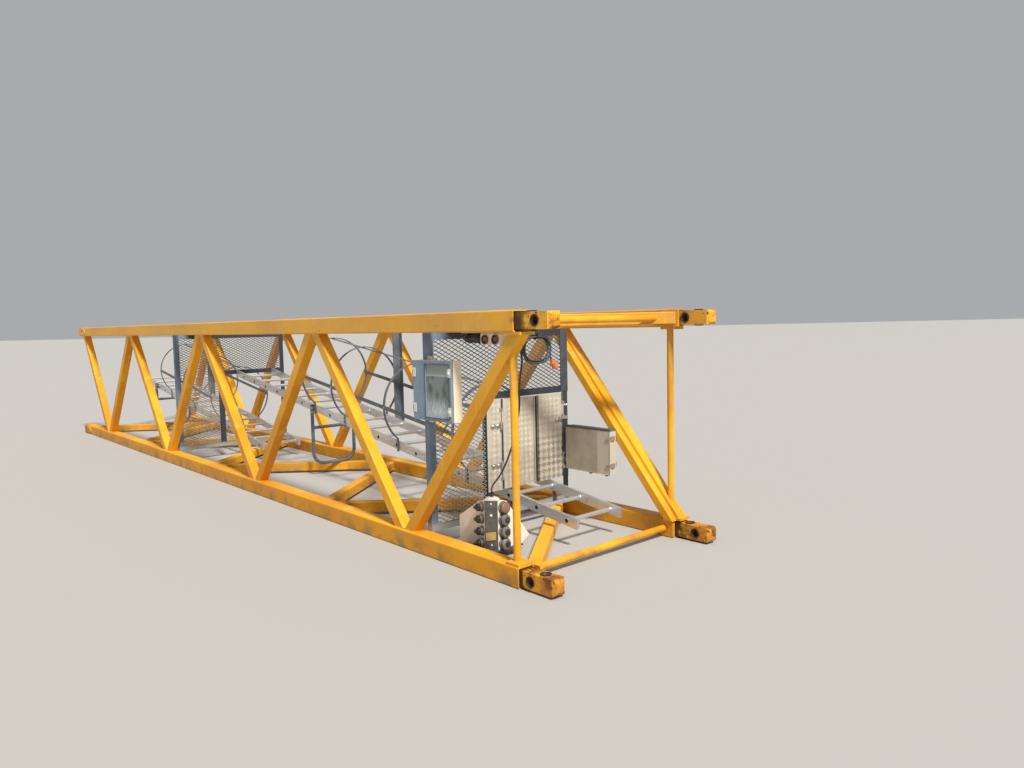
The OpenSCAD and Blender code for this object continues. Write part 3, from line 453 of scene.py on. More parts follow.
finishes = {
    "yellow": ("chord", "sleeve", "lacing", "end_"),
    "forged": ("pin_block",),
    "chequer": ("hatch_leaf", "hatch_strips"),
    "bolt": ("hatch_hinges",),
    "post": ("far_platform_frame", "near_platform_frame"),
    "aluminium": ("ladder_long", "ladder_short"),
    "cage": ("ladder_stands", "ladder_cages"),
    "steel": ("ladder_hooks", "junction_rails", "socket_shelf"),
    "cream": ("cabinet_body",),
    "door": ("cabinet_door",),
    "glass": ("cabinet_pane",),
    "white": ("cabinet_hinges",),
    "junction": ("junction_box", "junction_cover"),
    "socketPaint": ("socket_box",),
    "spine": ("socket_front",),
    "grey": ("sockets",),
    "rubber": ("lead_",),
    "orange": ("lead_plug",),  # after the rubber, whose place it takes
}


def dressNodes():
    for name, piece in nodes.items():
        for finish, starts in finishes.items():
            if name.startswith(starts):
                piece.data.materials.clear()
                piece.data.materials.append(materials[finish])


dressNodes()
print("materials made")


def circle(middle, radius, across, other, sides):
    turns = [2 * math.pi * s / sides for s in range(sides)]
    return [middle + radius * (math.cos(t) * across + math.sin(t) * other) for t in turns]


def corners(points):
    # lowest and highest corner of the points
    return [[pick(p[i] for p in points) for i in range(3)] for pick in (min, max)]


class Shapes:
    # gathers points and faces of many small shapes into one piece

    def __init__(self):
        self.points = []
        self.faces = []

    def add(self, points, faces):
        start = len(self.points)
        self.points += [Vector(p) for p in points]
        self.faces += [[start + i for i in face] for face in faces]

    def ring(self, rows, sides, closed=False):
        # joins rows of equally many points into a skin, with caps unless closed
        faces = []
        count = len(rows)
        for j in range(count if closed else count - 1):
            k = (j + 1) % count
            for i in range(sides):
                n = (i + 1) % sides
                faces.append([j * sides + i, j * sides + n, k * sides + n, k * sides + i])
        if not closed:
            faces.append(list(range(sides))[::-1])
            faces.append([(count - 1) * sides + i for i in range(sides)])
        self.add([p for row in rows for p in row], faces)

    def tube(self, path, radius, sides=8, closed=False):
        rows = []
        count = len(path)
        across = None
        for i, p in enumerate(path):
            before = path[i - 1] if (i > 0 or closed) else p
            after = path[(i + 1) % count] if (i < count - 1 or closed) else p
            ahead = (after - before).normalized()
            if across is None:
                across = ahead.orthogonal().normalized()
            across = (across - ahead * across.dot(ahead)).normalized()
            rows.append(circle(p, radius, across, ahead.cross(across), sides))
        self.ring(rows, sides, closed)

    def lathe(self, profile, place, axis, sides=20, closed=False):
        # profile is (radius, distance along the axis) from the back to the front
        ahead = Vector(axis).normalized()
        across = ahead.orthogonal().normalized()
        other = ahead.cross(across)
        self.ring([circle(place + h * ahead, r, across, other, sides) for r, h in profile], sides, closed)

    def pipe(self, inner, outer, start, end, place, axis, sides=28):
        # hollow round from start to end along the axis
        self.lathe([(outer, start), (outer, end), (inner, end), (inner, start)], place, axis, sides, True)

    def block(self, low, high):
        (x0, y0, z0), (x1, y1, z1) = low, high
        points = [(x, y, z) for x in (x0, x1) for y in (y0, y1) for z in (z0, z1)]
        self.add(points, [[0, 1, 3, 2], [4, 6, 7, 5], [0, 4, 5, 1], [2, 3, 7, 6], [0, 2, 6, 4], [1, 5, 7, 3]])

    def bolt(self, place, axis, size):
        # washer, then a hexagon head with a chamfer
        washer = [(0.2, 0), (1.05, 0), (1.1, 0.06), (1.05, 0.13), (0.3, 0.14)]
        head = [(0.7, 0.13), (0.78, 0.2), (0.78, 0.6), (0.62, 0.74)]
        for profile, sides in ((washer, 16), (head, 6)):
            self.lathe([(size * r, size * h) for r, h in profile], place, axis, sides)

    def make(self, name, finish, slot, body="section", bevel=0.0, smooth=False):
        mesh = bpy.data.meshes.new(name)
        mesh.from_pydata(self.points, [], self.faces)
        mesh.materials.append(materials[finish])
        mesh.polygons.foreach_set("use_smooth", [smooth] * len(mesh.polygons))
        mesh.update()
        piece = bpy.data.objects.new(name, mesh)
        bpy.context.scene.collection.objects.link(piece)
        if bevel:
            rounder = piece.modifiers.new("roundedEdges", "BEVEL")
            rounder.width = bevel
            rounder.segments = 2
            rounder.limit_method = "ANGLE"
        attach(piece, body)
        return piece


lead = {
    "gland": (9.36653, 0.27364, 0.3903),  # foot of the gland, from the open end and the left side
    "exit": (9.36653, 0.27364, 0.4446),  # top of the gland
    "end": (9.840, 0.1375, 1.31424),  # where the lead meets its hank
    "aside": -0.006,  # the lead comes in behind the hank's middle
    "diameter": 0.012,
    "length": 3.28,
    "hank": (9.840, 0.245, 1.3695),
    "straight": 0.060,
    "round": 0.0775,
    "layer": 0.0105,  # from the bundle's middle to each turn
    "turns": 3,
    "perTurn": 28,
    "leave": -15.2,  # where the last turn leaves for the plug, in degrees
    "leaveRadius": 0.050,
    "plug": (9.840, 0.340, 1.3395),  # start of the plug's line
    "plugTilt": 36,
}
leadRoute = [
    (0, 0, 0), (0, 0, 0.020), (0.004, 0.012, 0.045), (0.016, 0.034, 0.075), (0.035, 0.055, 0.115),
    (0.056, 0.068, 0.165), (0.080, 0.076, 0.215), (0.105, 0.078, 0.270), (0.130, 0.076, 0.325),
    (0.156, 0.068, 0.380), (0.185, 0.057, 0.435), (0.217, 0.044, 0.490), (0.254, 0.024, 0.548),
    (0.294, -0.008, 0.605), (0.335, -0.046, 0.660), (0.374, -0.076, 0.716), (0.412, -0.102, 0.768),
    (0.444, -0.122, 0.812), (0.465, -0.134, 0.842), (0.473, -0.136, 0.870)]


def leadStretch():
    # the hanging lead from its gland to the hank, a smooth line through the route's points
    first, last = Vector(lead["exit"]), Vector(lead["end"])
    spread = [(last[i] - first[i]) / leadRoute[-1][i] for i in range(3)]
    points = [Vector([first[i] + spread[i] * p[i] for i in range(3)]) for p in leadRoute]
    for i, p in enumerate(points[15:]):
        p.x += lead["aside"] * (i + 1) / 5
    line = []
    for i in range(len(points) - 1):
        a, b, c, d = [points[min(max(j, 0), len(points) - 1)] for j in range(i - 1, i + 3)]
        for t in (0, 0.5):
            bend = t * t * (2 * a - 5 * b + 4 * c - d) + t ** 3 * (3 * b - a - 3 * c + d)
            line.append(0.5 * (2 * b + t * (c - a) + bend))
    return [at(*p) for p in line]


def hankPoint(along, turn):
    # along runs up from the hank's left end; the turns lie round each other like a rope's strands
    half, r = lead["straight"] / 2, lead["round"]
    quarter = r * math.pi / 2
    across = quarter + 2 * half
    if along < quarter:
        y, angle = -half, math.pi - along / r
    elif along < across:
        y, angle = -half + along - quarter, math.pi / 2
    elif along < across + 2 * quarter:
        y, angle = half, math.pi / 2 - (along - across) / r
    elif along < across + 2 * quarter + 2 * half:
        y, angle = half - (along - across - 2 * quarter), -math.pi / 2
    else:
        y, angle = -half, -math.pi / 2 - (along - across - 2 * quarter - 2 * half) / r
    lay = math.radians(135 + 90 * turn)
    r += lead["layer"] * math.sin(lay)
    x, middle, z = lead["hank"]
    return at(x + lead["layer"] * math.cos(lay), middle + y + r * math.cos(angle), z + r * math.sin(angle))


def leadPath():
    whole = 2 * math.pi * lead["round"] + 2 * lead["straight"]
    quarter = lead["round"] * math.pi / 2
    last = quarter + lead["straight"] + lead["round"] * math.radians(90 - lead["leave"])
    reach = lead["turns"] * whole + last
    path = leadStretch()
    steps = int(reach / whole * lead["perTurn"])
    for i in range(steps + 1):
        along = reach * i / steps
        path.append(hankPoint(along % whole, along / whole))
    # a bend outwards, and straight on into the plug
    down = math.radians(lead["leave"] - 90)
    ahead = Vector((0, math.cos(down), math.sin(down)))
    side = Vector((0, -math.sin(down), math.cos(down)))
    start, r = path[-1], lead["leaveRadius"]
    turned = math.radians(lead["plugTilt"] - 90) - down
    for i in range(1, 5):
        t = turned * i / 4
        path.append(start + r * (math.sin(t) * ahead + (1 - math.cos(t)) * side))
    path.append(path[-1] + 0.010 * plugLine())
    return path


def plugLine():
    tilt = math.radians(lead["plugTilt"])
    return Vector((0, math.sin(tilt), -math.cos(tilt)))


def makeLead():
    path = leadPath()
    cable = Shapes()
    cable.tube(path, lead["diameter"] / 2, 12)
    cable = cable.make("socketLead", "rubber", "black_rubber", smooth=True)
    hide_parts("lead_cord", "lead_coil")
    gland = Shapes()
    nut = [(0.0148, 0.0003), (0.0150, 0.0012), (0.0150, 0.0080), (0.0140, 0.0090)]
    gland.lathe(nut, at(*lead["gland"]), (0, 0, 1), 6)
    relief = [(0.0132, 0.0092), (0.0134, 0.0140), (0.0118, 0.0160)]
    for i in range(7):
        low, r = 0.0165 + i * 0.0053, 0.0112 - i * 0.0006
        relief += [(r, low), (r, low + 0.0030), (r - 0.0016, low + 0.0034), (r - 0.0018, low + 0.0049)]
    gland.lathe(relief + [(0.0064, 0.0540)], at(*lead["gland"]), (0, 0, 1), 20)
    gland = gland.make("leadGland", "black", "black_rubber")
    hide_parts("lead_gland")
    plug, inside = Shapes(), Shapes()
    foot = at(*lead["plug"])
    neck = [(0.0066, 0.044)]
    for i in range(3):
        low = 0.045 + i * 0.005
        neck += [(0.0088, low), (0.0090, low + 0.003), (0.0074, low + 0.0034), (0.0074, low + 0.0048)]
    body = [(0.0120, 0.0605), (0.0168, 0.0640), (0.0180, 0.0700), (0.0180, 0.0780), (0.0170, 0.0792), (0.0170, 0.0820)]
    collar = [(0.0196, 0.0832), (0.0196, 0.1020), (0.0186, 0.1060), (0.0160, 0.1060), (0.0156, 0.0920)]
    plug.lathe(neck + body + collar, foot, plugLine(), 28)
    for i in range(10):
        angle = 2 * math.pi * i / 10
        up = plugLine().orthogonal().normalized()
        out = math.cos(angle) * up + math.sin(angle) * plugLine().cross(up)
        place = foot + out * 0.0180 + plugLine() * 0.068
        plug.tube([place, place + plugLine() * 0.009], 0.0015, 6)
    inside.lathe([(0.0154, 0.0905), (0.0154, 0.0922), (0.002, 0.0924)], foot, plugLine(), 24)
    for angle in (90, 210, 330):
        up = Vector((1, 0, 0))
        turn = math.radians(angle)
        out = math.cos(turn) * up + math.sin(turn) * plugLine().cross(up)
        inside.lathe([(0.0022, 0.0923), (0.0022, 0.102), (0.0014, 0.104)], foot + out * 0.0085, plugLine(), 10)
    plug = plug.make("leadPlug", "orange", "orange_plastic")
    inside = inside.make("leadPlugPins", "black", "black_rubber")
    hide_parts("lead_plug")


makeLead()
print("lead hung up")


def solidsOf(name):
    # the points of each solid of a CAD node
    mesh = nodes[name].data
    parent = list(range(len(mesh.vertices)))

    def root(i):
        while parent[i] != i:
            parent[i] = parent[parent[i]]
            i = parent[i]
        return i

    same = {}
    for i, v in enumerate(mesh.vertices):
        key = tuple(round(c, 5) for c in v.co)
        parent[root(i)] = root(same.setdefault(key, i))
    for e in mesh.edges:
        parent[root(e.vertices[0])] = root(e.vertices[1])
    groups = {}
    for i, v in enumerate(mesh.vertices):
        groups.setdefault(root(i), []).append(v.co)
    return list(groups.values())


welds = {
    "bead": 0.0045,  # half the bead's width
    "ripple": 0.0006,
    "step": 0.009,
}


def weldLoop(shapes, low, high, plane):
    # a bead round a bar's foot on a corner tube; plane is the axis that the foot stands on
    a, b = [axis for axis in range(3) if axis != plane]
    turns = [(low[a], low[b]), (high[a], low[b]), (high[a], high[b]), (low[a], high[b])]
    path = []
    for i in range(4):
        (u0, v0), (u1, v1) = turns[i], turns[(i + 1) % 4]
        steps = max(3, int(max(abs(u1 - u0), abs(v1 - v0)) / welds["step"]))
        for s in range(steps):
            p = Vector((0, 0, 0))
            p[a] = u0 + (u1 - u0) * s / steps
            p[b] = v0 + (v1 - v0) * s / steps
            p[plane] = low[plane] + random.uniform(-1, 1) * welds["ripple"]
            path.append(p)
    shapes.tube(path, welds["bead"], 6, closed=True)


def weldFeet():
    tube = section["cornerTube"]
    for name, plane in (("left", 2), ("right", 2), ("top", 1), ("bottom", 1)):
        shapes = Shapes()
        base = 0 if plane == 2 else section["leftSide"]
        ends = (base + tube, base + section["width"] - tube)
        for group in solidsOf("lacing_" + name):
            for end in ends:
                foot = [p for p in group if abs(p[plane] - end) < 0.0004]
                if len(foot) < 4:
                    continue
                weldLoop(shapes, *corners(foot), plane)
        shapes.make("welds_" + name, "yellow", "yellow_paint", smooth=True)


weldFeet()
print("weld beads laid")

pinBores = {
    "radius": 0.0275,
    "half": 0.0545,  # from a block's middle to its face
    "rim": 0.0068,
}


def boreDetail():
    # worn bright-edged rims of the bores in the forged blocks, and dark walls inside the bores: painted shade in the
    # hollow, over grease
    rims, walls = Shapes(), Shapes()
    r, half = pinBores["radius"], pinBores["half"]
    for mount in frame["record"]["mounts"]:
        if not mount["name"].startswith("pin_bore"):
            continue
        x, y, z = mount["pos_m"]
        place, axis = Vector((x, y, z)), mount["axis"]
        walls.pipe(r - 0.0009, r + 0.0015, 0.0004 - half, half - 0.0004, place, axis)
        for side in (-1, 1):
            start, end = sorted((side * (half + 0.0001), side * (half + 0.0011)))
            rims.pipe(r + 0.0003, r + pinBores["rim"], start, end, place, axis)
    rims.make("boreRims", "grease", "yellow_paint", smooth=False)
    walls.make("boreWalls", "grease", "yellow_paint", smooth=True)


boreDetail()
print("pin bores dressed")

expanded = {
    "long": 0.056,  # a diamond's length
    "short": 0.029,  # a diamond's height
    "strand": 0.0072,
    "thick": 0.0036,
}


def expandedPanel(shapes, low, high):
    # zigzag strands that touch at their bends, inside a flat frame strip
    x = (low[0] + high[0]) / 2
    half = expanded["long"] / 2
    rise = expanded["short"] / 4
    rows = int((high[2] - low[2]) / (2 * rise))
    lift = (high[2] - low[2] - 2 * rise * rows) / 2
    for row in range(rows):
        middle = low[2] + lift + rise * (2 * row + 1)
        flip = 1 if row % 2 else -1
        count = int((high[1] - low[1]) / half)
        start = low[1] + (high[1] - low[1] - count * half) / 2
        loops = []
        for i in range(count + 1):
            y = start + i * half
            z = middle + flip * rise * (1 if i % 2 else -1)
            tilt = expanded["thick"] / 2
            wide = expanded["strand"] / 2
            loops.append([
                (x - tilt, y, z - wide), (x + tilt, y, z - wide * 0.4),
                (x + tilt, y, z + wide), (x - tilt, y, z + wide * 0.4)])
        shapes.ring(loops, 4)


def expandedMetal():
    for name in ("far", "near"):
        shapes = Shapes()
        for group in solidsOf(name + "_platform_mesh"):
            expandedPanel(shapes, *corners(group))
        piece = shapes.make(name + "ExpandedMetal", "meshZinc", "galvanised")
        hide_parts(name + "_platform_mesh")


expandedMetal()
print("expanded metal made")

tread = {
    "cell": 0.0283,  # side of one group of bars
    "bars": 4,
    "barLong": 0.021,
    "barWide": 0.0032,
    "high": 0.0008,
    "margin": 0.010,
}


def treadBar(shapes, x, y, z, angle):
    along = Vector((0, math.cos(angle), math.sin(angle)))
    over = Vector((0, -math.sin(angle), math.cos(angle)))
    middle = Vector((x, y, z))
    long, wide = tread["barLong"] / 2, tread["barWide"] / 2
    top = Vector((tread["high"], 0, 0))
    points = [middle - along * long, middle - over * wide, middle + along * long, middle + over * wide]
    points += [middle - along * long * 0.5 + top, middle + along * long * 0.5 + top]
    shapes.add(points, [[0, 1, 4], [1, 2, 5, 4], [2, 3, 5], [3, 0, 4, 5]])


def treadOn(shapes, x, low, high):
    # groups of bars on a diagonal grid, turned by a right angle from one to the next
    cell = tread["cell"]
    inset = cell * 0.5 + tread["margin"]
    reach = int((high[0] - low[0] + high[1] - low[1]) / cell) + 2
    for i in range(-reach, reach):
        for j in range(-reach, reach):
            y = low[0] + (i + j) * cell * math.sqrt(0.5)
            z = low[1] + (i - j) * cell * math.sqrt(0.5)
            inside = low[0] + inset < y < high[0] - inset and low[1] + inset < z < high[1] - inset
            if not inside:
                continue
            angle = math.pi / 4 if (i + j) % 2 else -math.pi / 4
            step = cell / (tread["bars"] + 1)
            for b in range(tread["bars"]):
                off = (b - (tread["bars"] - 1) / 2) * step
                treadBar(shapes, x, y - math.sin(angle) * off, z + math.cos(angle) * off, angle)


hatch = {
    "leaf": 0.004,
    "leftLeaf": (0.762, 1.058),  # from the left side
    "rightLeaf": (1.106, 1.360),
    "leafHeight": (0.322, 0.978),
    "strip": (0.616, 0.742),
    "stripHeight": (0.318, 0.983),
    "bolts": (0.50, 0.79),
    "lip": (1.0582, 1.098),  # folded edge of the left leaf, made near-black as painted shade in the gap
    "gaps": ((0.738, 0.768), (1.366, 1.392)),  # behind the hinges, where dark plates stand in as painted shade
    "fold": (1.1065, 1.1125),  # folded edge of the right leaf
    "postFlat": (1.3620, 1.4400, 1.4740),  # from, to, and its top
    "straps": (0.642, 0.742),
    "strapBolts": (0.660, 0.705),
    "keepers": ((1.384, 1.431), (0.470, 0.785)),
    "postBolts": ((1.405, 1.424), (0.45, 0.88)),
    "latch": ((1.300, 0.776), (1.368, 0.794)),
    "latchEnd": ((1.286, 0.772), (1.302, 0.798)),
}


def hatchDetail():
    face = section["deck"] + 2 * hatch["leaf"]
    for body, side in (("left_leaf", "leftLeaf"), ("right_leaf", "rightLeaf")):
        shapes = Shapes()
        y0, y1 = (v + section["leftSide"] for v in hatch[side])
        treadOn(shapes, face + section["openEnd"] + 0.0001, (y0, hatch["leafHeight"][0]), (y1, hatch["leafHeight"][1]))
        shapes.make(side + "Tread", "chequer", "galvanised", body)
    shapes = Shapes()
    y0, y1 = (v + section["leftSide"] for v in hatch["strip"])
    front = section["deck"] + hatch["leaf"] + section["openEnd"] + 0.0001
    treadOn(shapes, front, (y0, hatch["stripHeight"][0]), (y1, hatch["stripHeight"][1]))
    shapes.make("stripTread", "chequer", "galvanised")
    lip, edge = Shapes(), Shapes()
    z0, z1 = hatch["leafHeight"]
    y0, y1 = hatch["lip"]
    # painted shade: the left leaf's folded edge fills the gap in near-black
    lip.block(at(section["deck"] + 0.0045, y0, z0 + 0.002), at(section["deck"] + 0.0075, y1, z1 - 0.002))
    lip.make("leafLipShade", "dark", "black_plastic", "left_leaf")
    y0, y1 = hatch["fold"]
    edge.block(at(face - 0.0005, y0, z0 + 0.002), at(face + 0.007, y1, z1 - 0.002))
    edge.make("leafFold", "chequer", "galvanised", "right_leaf", 0.0015)
    flat = Shapes()
    y0, y1, top = hatch["postFlat"]
    flat.block(at(section["deck"] + 0.0003, y0, z1 + 0.008), at(section["deck"] + 0.0055, y1, top))
    flat.make("postFlat", "steel", "grey_steel", bevel=0.0015)
    # painted shade: dark plates behind the gaps so that they read dark
    backs = Shapes()
    for y0, y1 in hatch["gaps"]:
        backs.block(at(section["deck"] - 0.004, y0, z0 - 0.002), at(section["deck"] - 0.0005, y1, z1 + 0.002))
    backs.make("gapShadeBacks", "steel", "grey_steel", bevel=0.001)
    straps = Shapes()
    front = section["deck"] + hatch["leaf"] + 0.0003
    y0, y1 = hatch["straps"]
    for z in hatch["bolts"]:
        straps.block(at(front, y0, z - 0.014), at(front + 0.006, y1, z + 0.014))
        straps.tube([at(front + 0.013, 0.735, z - 0.030), at(front + 0.013, 0.735, z + 0.030)], 0.008, 12)
    (y0, y1), places = hatch["keepers"]
    for z in places:
        straps.block(at(front, y0, z - 0.012), at(front + 0.007, y1, z + 0.012))
    straps.make("hatchStraps", "bolt", "grey_steel", bevel=0.0015)
    bolts = Shapes()
    for z in hatch["bolts"]:
        for y in hatch["strapBolts"]:
            bolts.bolt(at(front + 0.006, y, z), (1, 0, 0), 0.014)
    latch, ends = Shapes(), Shapes()
    low, high = hatch["latch"]
    latch.block(at(face + 0.0140, *low), at(face + 0.0205, *high))
    low, high = hatch["latchEnd"]
    ends.block(at(face + 0.0138, *low), at(face + 0.0225, *high))
    across, places = hatch["postBolts"]
    for z in places:
        for y in across:
            bolts.bolt(at(section["deck"] + hatch["leaf"], y, z), (1, 0, 0), 0.009)
    bolts.make("hatchBolts", "bolt", "grey_steel")
    latch.make("leafLatch", "bolt", "grey_steel", "right_leaf", 0.002)
    ends.make("leafLatchEnd", "white", "white_plastic", "right_leaf", 0.003)


hatchDetail()
print("hatch dressed")

ladder = {
    "firstRung": (4.166, 0.961),  # from the open end, and above the ground
    "slope": 8.37,
    "pitch": 0.3,
    "rungs": 19,
    "cut": 4,  # rungs of the short ladder that would lie past the open end
    "rails": (0.815, 1.285),  # outer sides
    "railThick": 0.025,
}


def ladderPoint(i, y, lift=0.0, shift=0.0):
    slope = math.radians(ladder["slope"])
    along = i * ladder["pitch"]
    x = ladder["firstRung"][0] + along * math.cos(slope) + lift * math.sin(slope)
    z = ladder["firstRung"][1] - along * math.sin(slope) + lift * math.cos(slope)
    return at(x - shift, y, z)


def ladderDetail():
    rims, holes, collars = Shapes(), Shapes(), Shapes()
    y0, y1 = ladder["rails"]
    thick = ladder["railThick"]
    for shift, first in ((0.0, 0), (section["platformStep"], ladder["cut"])):
        for i in range(first, ladder["rungs"]):
            for y, side in ((y0, -1), (y1, 1)):
                place = ladderPoint(i, y, 0, shift)
                rims.lathe([(0.014, -0.001), (0.0180, 0), (0.0172, 0.0016), (0.0150, 0.0008)], place, (0, side, 0), 20)
                holes.lathe([(0.0152, 0.0), (0.0150, 0.0019), (0.004, 0.0016)], place, (0, side, 0), 16)
                inner = ladderPoint(i, y - side * thick, 0, shift)
                collars.lathe([(0.0158, 0), (0.019, 0.001), (0.0165, 0.006), (0.0153, 0.009)], inner, (0, -side, 0), 20)
    rims.make("rungRims", "aluminium", "aluminium", smooth=True)
    holes.make("rungEnds", "dark", "black_plastic", smooth=True)
    collars.make("rungCollars", "aluminium", "aluminium", smooth=True)


ladderDetail()
print("ladders dressed")

cage = {
    "rungs": (6, 8, 11.1, 14.35),  # where the hoops stand
    "shortFirst": 1,
    "rise": 0.345,
    "radius": 0.374,
    "middle": 1.05,
    "foot": (0.8067, 1.2933),  # outer faces of the legs
    "stand": (5.8995, (0.7975, 1.2675), (0.655, 0.700)),  # where the stands are clamped
}


def cageDetail():
    # carriage bolts where the straps cross the hoops and where the hoops stand on the rails
    shapes, clamps = Shapes(), Shapes()
    slope = math.tan(math.radians(ladder["slope"]))
    for shift, first in ((0.0, 0), (section["platformStep"], cage["shortFirst"])):
        for rung in cage["rungs"][first:]:
            x = ladder["firstRung"][0] + rung * ladder["pitch"] * math.cos(math.radians(ladder["slope"]))
            z = ladder["firstRung"][1] - (x - ladder["firstRung"][0]) * slope
            x -= shift
            for side in (-1, 1):
                shapes.bolt(at(x, cage["middle"] + side * cage["radius"], z + cage["rise"]), (0, side, 0), 0.009)
                foot = cage["foot"][0 if side < 0 else 1]
                for lift in (-0.022, 0.022):
                    shapes.bolt(at(x, foot, z + lift), (0, side, 0), 0.008)
            shapes.bolt(at(x, cage["middle"], z + cage["rise"] + cage["radius"]), (0, 0, 1), 0.009)
        x, across, places = cage["stand"]
        for y in across:
            for z in places:
                ring = [(0.0177, 0), (0.0205, 0.001), (0.0205, 0.013), (0.0177, 0.014)]
                clamps.lathe(ring, at(x - shift, y, z), (0, 0, 1), 20)
    shapes.make("cageBolts", "bolt", "grey_steel")
    clamps.make("standClamps", "bolt", "grey_steel")


cageDetail()
print("cages bolted")

cabinet = {
    "x": (8.875, 9.290),
    "z": (0.905, 1.295),
    "front": 0.0267,  # the door's outer face, from the left side
    "frame": 0.024,
    "strip": 0.140,
    "inner": 0.1074,  # the back wall's inner face
    "gasket": 0.006,
    "hinges": (0.078, 0.312),  # above the cabinet's foot
}


def rimOn(shapes, x, z, wide, y):
    # four strips inside the edges of a rectangle
    (x0, x1), (z0, z1) = x, z
    for low, high in (((x0, z0), (x0 + wide, z1)), ((x1 - wide, z0), (x1, z1)),
                      ((x0 + wide, z0), (x1 - wide, z0 + wide)), ((x0 + wide, z1 - wide), (x1 - wide, z1))):
        shapes.block(at(low[0], y[0], low[1]), at(high[0], y[1], high[1]))


def cabinetDetail():
    x0, x1 = cabinet["x"]
    z0, z1 = cabinet["z"]
    wx0, wx1 = x0 + cabinet["strip"], x1 - cabinet["frame"]
    wz0, wz1 = z0 + cabinet["frame"], z1 - cabinet["frame"]
    y = cabinet["front"]
    gasket = Shapes()
    rim = cabinet["gasket"]
    rimOn(gasket, (wx0 - rim, wx1 + rim), (wz0 - rim, wz1 + rim), rim, (y - 0.004, y - 0.0002))
    gasket.make("windowGasket", "spine", "door_paint", "door", 0.0012)
    latches, plates = Shapes(), Shapes()
    for z in (z0 + 0.07, z1 - 0.075):
        plates.block(at(x1 - 0.030, y - 0.005, z - 0.028), at(x1 - 0.002, y - 0.0002, z + 0.028))
        latches.block(at(x1 - 0.024, y - 0.015, z - 0.010), at(x1 - 0.006, y - 0.0052, z + 0.010))
    plates.make("cabinetLatches", "white", "white_plastic", "door", 0.003)
    latches.make("cabinetLatchKnobs", "white", "white_plastic", "door", 0.003)
    leaves = Shapes()
    for z in cabinet["hinges"]:
        leaves.block(at(x0 + 0.002, y - 0.004, z0 + z - 0.03), at(x0 + 0.034, y - 0.0002, z0 + z + 0.03))
    leaves.make("cabinetHingeLeaves", "white", "white_plastic", "door", 0.0025)
    panel, band, marks = Shapes(), Shapes(), Shapes()
    inner = cabinet["inner"]
    panel.block(at(wx0 - 0.02, inner - 0.022, z0 + 0.02), at(wx1 + 0.012, inner - 0.018, z1 - 0.075))
    panel.make("cabinetPanel", "panelGrey", "cream_paint", bevel=0.001)
    band.block(at(wx0 - 0.02, inner - 0.052, z1 - 0.115), at(wx1 + 0.012, inner - 0.0222, z1 - 0.08))
    band.make("cabinetTrunking", "spine", "black_plastic", bevel=0.003)
    for i in range(9):
        x = wx0 + 0.012 + i * 0.024
        marks.block(at(x, inner - 0.040, z0 + 0.15), at(x + 0.018, inner - 0.0222, z0 + 0.215))
    marks.make("cabinetTerminals", "grey", "black_plastic", bevel=0.002)
    rail = Shapes()
    rail.block(at(wx0 - 0.01, inner - 0.028, z0 + 0.225), at(wx1, inner - 0.0222, z0 + 0.255))
    rail.make("cabinetRail", "bolt", "grey_steel", bevel=0.001)
    bolts = Shapes()
    for x, z in ((x0 + 0.09, z1 + 0.012), (x0 + 0.09, z0 - 0.012)):
        bolts.bolt(at(x, 0.1, z), (0, -1, 0), 0.011)
    tabs = Shapes()
    for z in (z0, z1):
        tabs.block(at(x0 + 0.07, 0.1, z - 0.024), at(x0 + 0.11, 0.1114, z + 0.024))
    tabs.make("cabinetTabs", "cream", "cream_paint", bevel=0.001)
    bolts.make("cabinetBolts", "white", "white_plastic")


cabinetDetail()
print("cabinet dressed")

junction = {
    "x": (8.984, 9.431),
    "z": (0.394, 0.736),
    "front": 1.3578,
    "rim": 0.005,
    "glands": (9.20, 9.36),
}


def junctionDetail():
    x0, x1 = junction["x"]
    z0, z1 = junction["z"]
    y = junction["front"]
    clamps, hooks = Shapes(), Shapes()
    for z in (z0 + 0.07, z1 - 0.07):
        clamps.block(at(x1, y + 0.002, z - 0.016), at(x1 + 0.006, y + 0.05, z + 0.016))
        hooks.block(at(x1 - 0.03, y - 0.008, z - 0.011), at(x1 + 0.004, y - 0.0003, z + 0.011))
    clamps.make("junctionClamps", "bolt", "grey_steel", bevel=0.0015)
    hooks.make("junctionClampHooks", "bolt", "grey_steel", bevel=0.002)
    flange = Shapes()
    rimOn(flange, junction["x"], junction["z"], junction["rim"], (y - 0.003, y - 0.0002))
    flange.make("junctionFlange", "junction", "box_grey", bevel=0.0012)
    glands = Shapes()
    for x in junction["glands"]:
        profile = [(0.016, 0), (0.016, 0.010), (0.013, 0.012), (0.013, 0.022), (0.009, 0.026)]
        glands.lathe(profile, at(x, 1.40, 0.3998), (0, 0, -1), 12)
    glands.make("junctionGlands", "grey", "black_plastic")


junctionDetail()
print("junction box dressed")

sockets = {
    "front": (9.385, 0.25, 0.07),
    "turn": -52,
    "wide": 0.086,
    "spread": 35,
    "high": 0.32,
    "inward": 0.044,  # from the front edge to a socket's axis
    "firstUp": 0.034,
    "pitch": 0.079,
    "radius": (0.034, 0.027),  # on the right and on the left
    "long": 0.022,
}


def socketAxes():
    # ahead of the box's spine, and to its right
    turn = math.radians(sockets["turn"])
    return Vector((math.cos(turn), math.sin(turn), 0)), Vector((-math.sin(turn), math.cos(turn), 0))


def socketPlace(side, up, out):
    # a point on the sloping side's socket line, and the side's outward direction
    spread = math.radians(sockets["spread"])
    ahead, right = socketAxes()
    right *= side
    back = -ahead * math.cos(spread) + right * math.sin(spread)
    outward = ahead * math.sin(spread) + right * math.cos(spread)
    x, y, z = sockets["front"]
    place = at(x, y, z) + right * sockets["wide"] / 2 + back * sockets["inward"] + outward * out
    return place + Vector((0, 0, up)), outward


